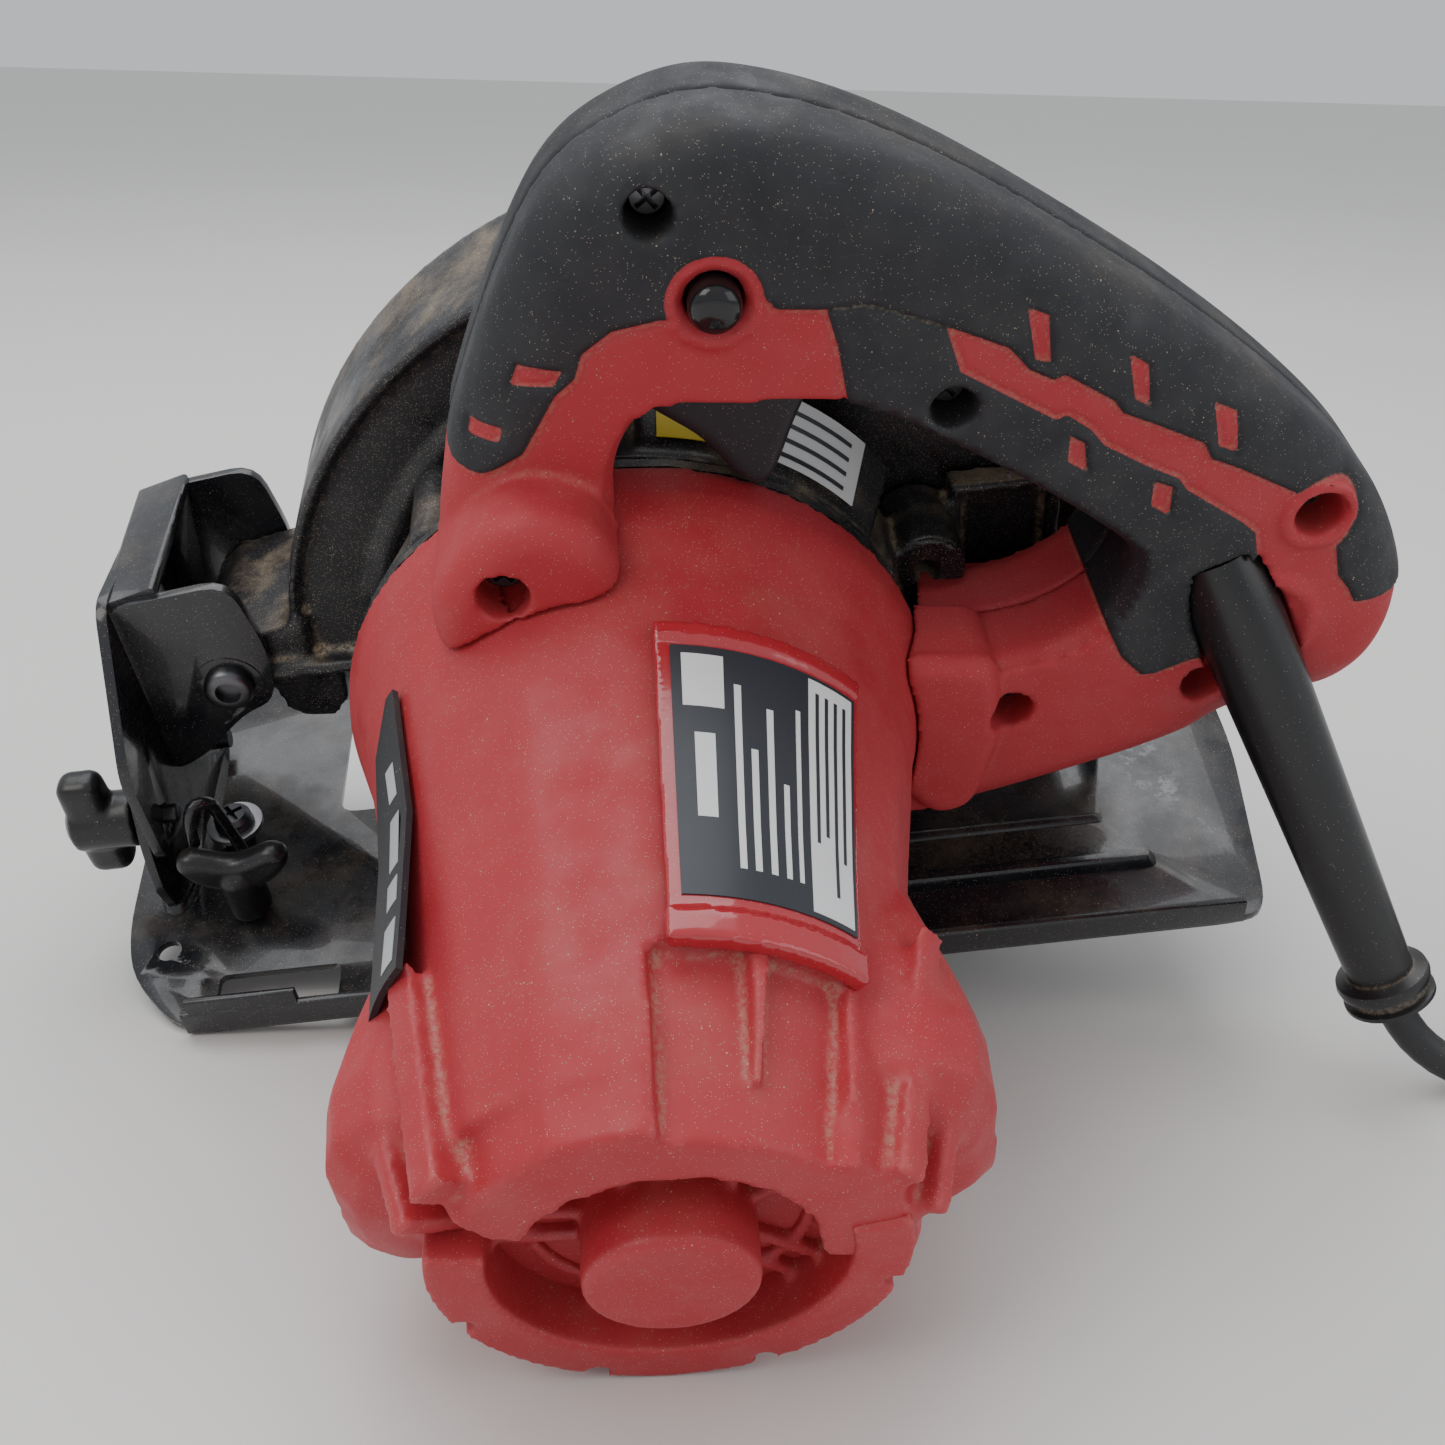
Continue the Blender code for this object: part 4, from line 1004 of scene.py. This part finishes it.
def motor_housing():
    stations = [-65, -68, -73, -82, -90, -100, -110, -120, -120.5, -135, -150, -163, -176, -190, -196]
    shell = loft([housing_ring(y) for y in stations])
    plus = [hood(), ear(-1), ear(1),
            wedge((-53, -158, 94), (-45, -206, 95), (-26, -196, 72), 7.0),
            wedge((-60, -176, 85), (-51, -206, 84), (-30, -195, 66), 4.5),
            wedge((45, -158, 89), (34, -206, 84), (16, -196, 66), 6.0),
            wedge((47, -180, 78), (39, -206, 72), (18, -195, 58), 4.5)]
    cavity = ((-60, 3.2), (-73, 3.2), (-90, 3.2), (-120, 3.2), (-120.5, 3.2), (-150, 5.0), (-188, 9.0))
    minus = [loft([housing_ring(y, wall) for y, wall in cavity]),
             polar_block((2.5, 49.5), ((43.2, 36.0), (70, 70)), -173.5, -210),
             rod((BRUSH_Y, MOTOR[1]), 7.6, MOTOR[0] - 70, MOTOR[0] + 70, "YZ"),
             ear_opening(-1), ear_opening(1)]
    rib = loft([[tilted(26.5 + side * wide / high, high, y)
                 for side, high in ((-57, 38), (-57, top), (57, top), (57, 38))]
                for y, top, wide in ((-171, 47.5, 1.9), (-182, 45.5, 1.3), (-196, 41.0, 0.7))])
    body = moulded("motor_housing", [shell, *plus], minus, [rib], 1.05, 2)
    return piece(body, "red", "saw_body", "motor_housing")


def end_cover():
    """Lower rim, hub and grille that close the end of the motor housing."""
    start, deep = -196.3, -188.0
    body = prism(sector(MOTOR, 31.5, 42.0, -195, 10, 40), END_Y, start)
    hub = [(0, HUB_Y), (14.3, HUB_Y), (15.5, HUB_Y + 1.2), (15.5, deep), (9.8, deep), (9.8, HUB_Y + 5),
           (0, HUB_Y + 5)]
    plus = [turned(hub, MOTOR, closed=False),
            ring_solid(MOTOR, 24.0, 26.6, -197.5, -194), ring_solid(MOTOR, 31.5, 35.0, -200.0, deep),
            ring_solid(MOTOR, 2.2, 3.2, HUB_Y - 0.35, HUB_Y + 1)]
    for i in range(5):
        way = 90 - (-12 + 72 * i)
        for offset in (-9, 9):
            near, far = polar(MOTOR, 14.5, way + offset * 1.6), polar(MOTOR, 32.5, way + offset * 0.75)
            plus.append(stroke(near, far, 2.6, -198.5, -193.5))
    minus = [rod(polar(MOTOR, 41.0, 90 - t), 2.2, -210, -204) for t in (110, 160, 205, 250)]
    cover = moulded("end_cover", [body, *plus], minus, voxel=0.7)
    return piece(cover, "red", "saw_body", "end_cover")


def skin_patch(radius_at, tilts, ys, lift, thick, steps=10, rows=8):
    """Thin plate lying on a turned surface about the motor axis."""
    rings = []
    for i in range(rows + 1):
        y = ys[0] + (ys[1] - ys[0]) * i / rows
        base = radius_at(y) + lift
        rings.append(band(y, base, base + thick, tilts, steps))
    return loft(rings)


def name_panel():
    """Glossy raised panel with a thick lower lip, carrying a plain rating label."""
    panel = skin_patch(housing_radius, (7, 52), (-174, -107), -0.6, 2.2)
    lip = skin_patch(housing_radius, (6.5, 52.5), (-175, -169), -0.6, 3.6)
    step = skin_patch(housing_radius, (7, 52), (-110, -106), -0.6, 2.7)
    piece(moulded("name_panel", [panel, lip, step], voxel=0.6, passes=4), "gloss", "saw_body", "name_panel")

    def on_panel(y):
        return housing_radius(y) + 1.6
    show("rating_label", skin_patch(on_panel, (10, 50), (-166, -112), 0.05, 0.25, 16), "dark_print")
    marks = [((38, 49), (-165, -113), "strip"), ((12, 20), (-126, -114), "square"),
             ((14, 18), (-150, -132), "bar_1"), ((22, 23.4), (-160, -120), "bar_2"),
             ((25.2, 26.6), (-160, -134), "bar_3"), ((28.6, 30), (-160, -124), "bar_4"),
             ((32, 33.2), (-160, -140), "bar_5"), ((35, 36), (-160, -122), "bar_6")]
    for tilts, ys, name in marks:
        show("rating_" + name, skin_patch(on_panel, tilts, ys, 0.32, 0.12, 8), "white")
    for i, low in enumerate((-150, -148, -160, -152)):
        line = skin_patch(on_panel, (39.6 + 2.3 * i, 40.4 + 2.3 * i), (low, -116), 0.46, 0.06, 4)
        show(f"rating_note_{i + 1}", line, "dark_print")


def strip_radius(y):
    return housing_radius(y) + 0.6 + 5.0 * min(max((-126 - y) / 40, 0), 1)


def side_panel():
    """Dark strip set along the front side, pointed at its top, with plain silver bars."""
    stations = ((-163, -76, -52), (-150, -75, -52), (-126, -70, -51), (-104, -62, -51), (-95, -54, -51))
    strip = loft([band(y, strip_radius(y), strip_radius(y) + 1.3, tilts, 8) for y, *tilts in stations])
    show("side_panel", strip, "charcoal", "saw_body", "side_panel")
    for i, ys in enumerate(((-160, -150), (-146, -140), (-137, -124), (-120, -112))):
        wide = 3 + 0.6 * (4 - i)
        bar = skin_patch(strip_radius, (-54 - wide, -54), ys, 1.32, 0.15, 5, 1)
        show(f"side_bar_{i + 1}", bar, "silver_print")


# ---- Gear housing and blade case ---------------------------------------------------------

DEPTH_PIVOT = (-112.0, 57.0)
LINK_R = 225.0
CLAMP = polar(DEPTH_PIVOT, LINK_R, 8.0)
GEAR_RADII = [(-61.7, 66.5), (-44.0, 62.0), (-26.3, 58.0)]


def gear_radius(y):
    for (y0, r0), (y1, r1) in zip(GEAR_RADII, GEAR_RADII[1:]):
        if y <= y1:
            return r0 + (r1 - r0) * (y0 - y) / (y0 - y1)
    return GEAR_RADII[-1][1]


def gear_ring(y, shrink=0.0, steps=72):
    floor = MOTOR[1] - HOUSING_FLAT + shrink
    return [(x, y, max(z, floor)) for x, z in circle(MOTOR, gear_radius(y) - shrink, steps)]


def caution_radius(y):
    """Raised ramp that carries the caution label."""
    return 67.0 + 8.0 * (y + 57) / 19


def gear_housing():
    body = loft([gear_ring(y) for y in (-61.7, -44, -26.3)])
    boss = (62, 83)
    plus = [rod(boss, 9.5, -50, -27), ring_solid(ARBOR, 24.0, 34.0, -30, -26.3),
             *(box((x0, x1), (-34.5, -27), (z0, z1)) for x0, x1, z0, z1 in
              ((70, 73, 60, 95), (94, 97, 60, 95), (70, 97, 60, 63), (70, 97, 92, 95))),
            box((70, 97), (-30, -27), (60, 95)), polar_block((6, 58), ((60, 60), (67, 75)), -57, -38),
            *(rod(polar(MOTOR, 61.0, 90 - t), 6.0, -61.7, -36) for t in (-40, 66, 120, 235))]
    minus = [loft([gear_ring(y, 3.0) for y in (-63, -44, -30)]), rod(ARBOR, 24.0, -40, -20),
             rod(boss, 3.0, -54, -40)]
    for t in (14, 28, 42, 56):
        plus.append(polar_block((t - 0.9, t + 0.9), ((58, 54), (70, 64)), -40, -28, 2))
    case = moulded("gear_housing", [body, *plus], minus, voxel=0.95)
    piece(case, "cast", "saw_body", "gear_housing")
    span = (-56, -39.5)
    show("caution_label", skin_patch(caution_radius, (19, 50), span, 0.35, 0.25, 14), "white")
    show("caution_corner", skin_patch(caution_radius, (9.5, 18.8), span, 0.35, 0.25, 6), "yellow")
    for i in range(4):
        rows = (-54.5 + 3.7 * i, -53.5 + 3.7 * i)
        line = skin_patch(caution_radius, (22, 47), rows, 0.65, 0.1, 10)
        show(f"caution_line_{i + 1}", line, "dark_print")


def blade_case():
    """Fixed upper guard: domed half shell with a rolled rim and a ledge along its foot."""
    half = arc(ARBOR, CASE_R, 0, 178, 60)
    body = pillow(half, -26.0, 14.0, 4.0)
    x, z = DEPTH_PIVOT
    bore = 24.0
    lug = prism([(x - 8, z - 8), (x + 20, z - 6), (x + 22, z + 14), (x - 2, z + 9), (x - 9, z + 3)], -29, 15)
    plus = [lug, turned_arc([(108, -28.2), (110, -28.2), (110, -23), (106.5, -23)], 2, 176),
            turned_arc(rect((86, 90), (-27.6, -24)), 20, 165),
            box((-106, -58), (-32, -24), (55, 58.5)), box((60, 122), (-30, -24), (51, 54.5)),
            prism([(-106, 56), (-102, 40), (-97, 37), (-90, 37), (-86, 42), (-84, 56)], -27, -24)]
    inner = prism(arc(ARBOR, 107.5, -25, 205, 72), -23.5, 11.5)
    minus = [inner, prism(sector(ARBOR, 0.5, 52, -40, 220, 40), 10, 16), rod(ARBOR, bore, -40, -20),
             rod(DEPTH_PIVOT, 4.3, -40, 25), rod(CLAMP, 3.4, -40, -20)]
    case = moulded("blade_case", [body, *plus], minus, voxel=1.2, passes=2)
    return piece(case, "cast", "saw_body", "blade_case")


# ---- Controls and small parts -----------------------------------------------------------

def strain_relief():
    length = (RELIEF_TIP - RELIEF_ROOT).length
    stations = [(-5, 9.2), (2, 9.8), (10, 9.8), (length - 10, 7.7), (length - 9, 7.7), (length - 8, 10.6),
                (length - 6.6, 10.9), (length - 5.2, 10.6), (length - 4.6, 9.0), (length - 2.6, 9.2),
                (length - 2.0, 10.6), (length - 1.0, 10.6), (length, 9.2)]
    show("strain_relief", along_relief(stations, steps=64), "black", "saw_body", "strain_relief", angle=50)


def controls():
    body = moulded("trigger", [pillow(spline_outline(trigger_outline(), 1.5), -70.5, -53.5, 2.5)],
                   [rod(TRIGGER_PIVOT, 2.5, -74, -50)], voxel=0.55, passes=4)
    piece(body, "charcoal", "trigger", "trigger")
    profile = [(0, -87.3), (2.5, -87.1), (4.2, -86.3), (5.0, -84.8), (5.0, -76.3), (0, -76.3)]
    button = turned(profile, LOCK_BUTTON, steps=48, closed=False)
    show("lock_button", button, "button", "lock_button", "lock_button", angle=50)


def cross_screw(name, centre, plane, head, head_r, height, shank, body="saw_body"):
    """Pan-headed cross-recess screw; head is the height of its top, height its thickness and sense."""
    under = head + height
    tip = head + math.copysign(abs(height) + shank[1], height)
    profile = [(0, head), (head_r * 0.72, head + height * 0.08), (head_r * 0.95, head + height * 0.45),
               (head_r, under), (shank[0], under), (shank[0], tip), (0, tip)]
    deep = head + height * 0.75
    low, high = sorted((head - height * 0.4, deep))
    u, v = centre
    arms = []
    for turn in (35, 125):
        du, dv = polar((0, 0), head_r * 0.62, turn)
        arms.append(stroke((u - du, v - dv), (u + du, v + dv), head_r * 0.24, low, high, plane))
    obj = combined(name, turned(profile, centre, plane, 40, closed=False), minus=arms)
    return piece(smooth(obj, 30), "dark_steel", body, name)


def handle_screws():
    heads = [(place, -74.2) for place in HANDLE_SCREWS] + [(LOBE_SCREW, -91.0)]
    for number, (place, head) in enumerate(heads, 1):
        cross_screw(f"handle_screw_{number}", place, "XZ", head, 4.3, 2.6, (2.0, 18))


# ---- Base plate and front hardware ------------------------------------------------------

BASE_OUTLINE = [(-131, -98), (136, -98), (141, -94), (149, -40), (150, 30), (142, 40),
                (-118, 40), (-146, 26), (-151, -20), (-150, -64), (-146, -80)]
QUADRANT_R = 55.0
BEVEL_BOLT = polar((0, BEVEL_Z), QUADRANT_R, 156.0)


def base_plate():
    """Pressed sole with folded rims, a step, embossed ribs and its blade and fence openings."""
    body = prism(filleted(BASE_OUTLINE, 9), 0, 2, "XY")
    fold = filleted([(-98.2, 0.1), (-98.2, 8), (-95.8, 8), (-95.8, 1.6)], 0.9)
    step = filleted([(-97.9, 0.3), (-97.9, 12.4), (-95.9, 12.4), (-95.9, 1.6)], 0.9)
    plus = [prism(fold, -129, 134, "YZ"), prism(step, -127, -100, "YZ"),
            prism(filleted([(38, 1), (38, 8), (40, 8), (40, 1)], 0.9), -116, 141, "YZ"),
            embossed((-60, 118), (-79, -73), 5.0), embossed((-52, 108), (-62, -58.5), 3.4),
            embossed((-80, 100), (22, 27), 4.0), embossed((-145, -132), (-60, 10), 4.0),
            prism(filleted([(-8, 1), (-6, 11), (-3, 14), (3, 14), (6, 11), (8, 1)], 2), 124, 126.5, "YZ")]
    blade_slot, fence_slot = rect((-98, 122), (-28.5, 13)), rect((-123, -92), (-93, -82))
    openings = filleted(blade_slot, 5), filleted(fence_slot, 2), circle((-138, -72), 3.2, 24)
    minus = [*(prism(opening, -3, 30, "XY") for opening in openings), rod((0, BEVEL_Z), 2.8, 120, 130, "YZ")]
    return piece(pressed("base_plate", body, plus, minus, 0.4), "paint", "base", "base_plate")


def embossed(x, y, height):
    """Long rib with sloped flanks and round ends."""
    (x0, x1), (y0, y1) = x, y
    outline = filleted(rect(x, y), (y1 - y0) * 0.45, 6)
    middle = filleted(rect((x0 + 2, x1 - 2), (y0 + 1.6, y1 - 1.6)), (y1 - y0) * 0.3, 6)
    return loft([[(u, v, 1.0) for u, v in outline], [(u, v, 2.2) for u, v in outline],
                 [(u, v, height) for u, v in middle]])


def bevel_quadrant():
    centre = (0, BEVEL_Z)
    outer = arc(centre, QUADRANT_R + 6, 176, 103, 36)
    inner = arc(centre, QUADRANT_R - 6, 103, 150, 24)
    foot = [(-30, 14), (-6, 15), (3, 14.4), (6.2, 10), (6.2, 2.4), (-58, 2.4)]
    slot = sector(centre, QUADRANT_R - 2.8, QUADRANT_R + 2.8, 108, 160, 36)
    body = pressed("bevel_quadrant", prism(outer + inner + foot, -140, -137.7, "YZ"),
                   minus=[prism(slot, -142, -135, "YZ"), rod(centre, 2.8, -142, -135, "YZ")], edge=0.6)
    piece(body, "paint", "base", "bevel_quadrant")
    for name, head, height, reach in (("bevel_pin_front", -143, 2.2, 9.6),
                                      ("bevel_pin_rear", 131.4, -2.2, 15.7)):
        cross_screw(name, centre, "YZ", head, 4.5, height, (2.5, reach), "base")


def front_bracket():
    web = filleted([(5.2, 9), (4, 12), (17, 40), (18.3, 80), (-33, 86), (-60, 52), (-60, 22), (-44, 20),
                    (-20, 4.2), (-2, 2.8), (3, 3.6), (5.2, 6)], 5)
    cheek = filleted([(-136, 28), (-136, 84), (-104, 88), (-100, 66), (-102, 50), (-112, 46), (-124, 34)], 7)
    flange = filleted([(-136.4, 80), (-136.4, 84), (-122, 88), (-122, 84)], 1.4)
    plus = [prism(cheek, -33, -30.4), prism(cheek, 15.6, 18.2), prism(flange, -31, 17),
            rod(DEPTH_PIVOT, 8.5, -33.4, -30), rod(DEPTH_PIVOT, 8.5, 15, 18.6)]
    minus = [rod(DEPTH_PIVOT, 4.3, -40, 25), rod((0, BEVEL_Z), 2.8, -140, -130, "YZ"),
             rod(BEVEL_BOLT, 2.8, -140, -130, "YZ"),
             prism(filleted([(-20, 30), (2, 30), (4, 66), (-20, 68)], 6), -140, -130, "YZ")]
    body = pressed("front_bracket", prism(web, -136.6, -134, "YZ"), plus, minus, 0.6)
    piece(body, "paint", "depth_carrier", "front_bracket")
    profile = [(0, -34.8), (3.0, -34.8), (3.2, -37.0), (5.0, -37), (5.8, -36.4), (6.2, -35.2), (6.2, -33.3),
               (4.0, -33.3), (4.0, 18.6), (0, 18.6)]
    pin = turned(profile, DEPTH_PIVOT, closed=False)
    show("depth_pivot_pin", pin, "dark_steel", "depth_carrier", "depth_pivot_pin")


def depth_link():
    strap = sector(DEPTH_PIVOT, LINK_R - 6, LINK_R + 5, -11.0, 26.5, 40)
    foot = filleted([(-30.5, 5), (-30.5, 16), (-6, 17), (0, 13.6), (4, 12), (5.6, BEVEL_Z), (4, 4),
                     (0, 2.5)], 1.5)
    slot = sector(DEPTH_PIVOT, LINK_R - 3.2, LINK_R + 3.2, -7.3, 24.8, 40)
    body = pressed("depth_link", prism(strap, -31, -28.6), [prism(foot, 111.8, 114.6, "YZ")],
                   [prism(slot, -35, -25), rod((0, BEVEL_Z), 2.8, 110, 120, "YZ")], 0.5)
    piece(body, "paint", "depth_carrier", "depth_link")
    x, z = CLAMP
    arm = filleted([(x - 4, z + 2), (x + 6, z + 2), (x + 11, z + 26), (x + 8, z + 32), (x + 2, z + 29)], 4)
    hub = turned([(0, -40), (6.3, -40), (7.5, -38.8), (7.5, -31.4), (2.9, -31.4), (2.9, -22), (0, -22)],
                 CLAMP, closed=False)
    lever = moulded("depth_lever", [hub, pillow(arm, -40, -35.6, 1.2)], voxel=0.55, passes=3)
    piece(lever, "black", "depth_lever", "depth_lever")


def knobs():
    u, v = BEVEL_BOLT
    wings = filleted([(u - 5, v - 6), (u - 4.5, v - 16), (u + 4.5, v - 16), (u + 5, v - 6), (u + 6.5, v),
                      (u + 5, v + 6), (u + 4.5, v + 16), (u - 4.5, v + 16), (u - 5, v + 6), (u - 6.5, v)], 4)
    boss = turned([(0, -158), (4.5, -158), (7.5, -156), (7.5, -140.4), (2.5, -140.4), (2.5, -130.2),
                   (0, -130.2)], BEVEL_BOLT, "YZ", closed=False)
    knob = moulded("bevel_knob", [pillow(wings, -157, -146, 3.2, "YZ"), boss], voxel=0.55, passes=4)
    piece(knob, "black", "bevel_knob", "bevel_knob")
    leaf = [(-131, 24), (-127, 17), (-119, 14), (-110, 15), (-104, 20), (-103, 24.5), (-107, 27), (-117, 24),
            (-127, 27.5)]
    stem = turned([(0, 4), (4.6, 4), (5.5, 5), (5.5, 17), (4.5, 20), (0, 20)], (-117, -62), "XY",
                  closed=False)
    grip = pillow(spline_outline(leaf, 1.2), -65.6, -58.4, 3.0)
    screw = moulded("fence_screw", [grip, stem], voxel=0.5, passes=4)
    piece(screw, "black", "fence_screw", "fence_screw")
    stop = (-124, -36)
    show("stop_washer", turned(rect((4.1, 7.5), (8.8, 10.2)), stop, "XY"), "steel", "base")
    cross_screw("stop_screw", stop, "XY", 14, 5.2, -3.6, (4.0, 8), "base")


def hook():
    """Bent rod that holds the fence against its screw."""
    route = [Vector(q) for q in ((-119, -48, 4), (-120, -48, 14), (-121, -50, 28), (-121, -52, 34),
                                 (-124, -54, 36), (-126, -56, 33), (-127, -57, 25))]
    smooth_line = smooth_route(route, 1.5)
    rings = []
    for i, middle in enumerate(smooth_line):
        ahead = smooth_line[min(i + 1, len(smooth_line) - 1)] - smooth_line[max(i - 1, 0)]
        side = ahead.cross(Vector((0, 1, 0.2))).normalized()
        up = side.cross(ahead).normalized()
        rings.append([middle + side * (1.6 * c) + up * (1.6 * s) for c, s in circle((0, 0), 1.0, 16)])
    show("fence_spring", loft(rings), "paint", "base", angle=50)


# ---- Blade side -------------------------------------------------------------------------

def lower_guard():
    start, end = 193.0, 372.0
    shell = prism(sector(ARBOR, 20.0, 99.0, start, end, 72), -14, 10)
    hollow = prism(sector(ARBOR, 0.5, 97.2, start - 30, end + 30, 80), -12.2, 8.2)
    window = prism(sector(ARBOR, 0.5, 74, start - 30, end + 30, 72), 6, 12)
    body = pressed("lower_guard", shell, [], [hollow, window], 0.7)
    piece(body, "zinc", "guard", "lower_guard")
    show("guard_collar", ring_solid(ARBOR, 20.0, 25.0, -14, -12.2), "zinc", "guard")
    lug = filleted(sector(ARBOR, 60, 94, end - 16, end - 13, 1), 1.0)
    pad = filleted(sector(ARBOR, 60, 94, end - 26, end - 13, 3), 2.0)
    lever = pressed("guard_lever", prism(lug, -22, -14.3), [prism(pad, -16.3, -14.3)], edge=0.5)
    piece(lever, "zinc", "guard", "guard_lever")


def blade():
    """Carbide-tipped disc with gullets, expansion slots and laser-cut holes."""
    teeth, radius = 36, 95.0
    pitch = 360.0 / teeth
    outline = []
    for i in range(teeth):
        for share, depth in ((0.0, 7.2), (0.10, 6.0), (0.16, 1.2), (0.20, 0.6), (0.34, 0.8), (0.58, 2.2),
                             (0.74, 5.0), (0.86, 7.4)):
            outline.append(polar(ARBOR, radius - depth, (i + share) * pitch))
    slots = []
    for k in range(4):
        a = 90 * k + 20
        slots.append(stroke(polar(ARBOR, radius + 2, a), polar(ARBOR, radius - 22, a - 3), 1.1, -3, 3))
        slots.append(rod(polar(ARBOR, radius - 22, a - 3), 2.2, -3, 3, steps=24))
        slots.append(rod(polar(ARBOR, 48, a + 40), 3.5, -3, 3, steps=24))
    disc = pressed("blade", prism(outline, -0.6, 0.6), [], [rod(ARBOR, 10.0, -3, 3), *slots], 0.12)
    piece(disc, "blade", "blade_assembly", "blade")
    tips = []
    for i in range(teeth):
        a, b = (i + 0.13) * pitch, (i + 0.30) * pitch
        tips.append(prism([polar(ARBOR, radius - 5.5, a), polar(ARBOR, radius - 0.1, a + 0.5),
                           polar(ARBOR, radius - 0.3, b), polar(ARBOR, radius - 5, b - 0.5)], -0.9, 0.9))
    show("carbide_tips", merged(tips), "steel", "blade_assembly", angle=20)
    flange = turned([(4.3, 1.3), (17.4, 1.3), (18, 1.8), (18, 3), (14, 4.8), (4.3, 4.8)], ARBOR, steps=96)
    show("outer_flange", flange, "zinc", "blade_assembly", "outer_flange", angle=30)
    hexagon = circle(ARBOR, 8.0, 6)
    shank, collar = rod(ARBOR, 3.9, -18, 6), rod(ARBOR, 8.6, 4.9, 6.2)
    head = pressed("blade_bolt", prism(hexagon, 5.1, 10.3), [shank, collar], edge=0.6)
    piece(head, "dark_steel", "blade_assembly", "blade_bolt")


motor_housing()
end_cover()
name_panel()
side_panel()
gear_housing()
blade_case()
handle_shell("handle_near", True)
handle_shell("handle_far", False)
strain_relief()
controls()
handle_screws()
base_plate()
bevel_quadrant()
front_bracket()
depth_link()
knobs()
hook()
lower_guard()
blade()

NODE_LOOKS = {
    "aluminium": ["bearing_box"],
    "cast": ["bearing_bracket"],
    "steel": ["stator_core", "rotor_core", "rotor_shaft", "pinion", "driven_gear", "spindle", "inner_flange",
              "spindle_ball_bearing", "spindle_needle_bearing", "rotor_front_bearing",
              "rotor_rear_bearing", "trigger_pin"],
    "copper": ["field_coil_upper", "field_coil_lower", "commutator"],
    "brass": ["brush_holder_front", "brush_holder_rear"],
    "black": ["carbon_brush_front", "carbon_brush_rear", "brush_cap_front", "brush_cap_rear", "cooling_fan",
              "switch_body"],
}


def dress_nodes():
    for key, names in NODE_LOOKS.items():
        for name in names:
            dress(NODES[name].data, key)


dress_nodes()
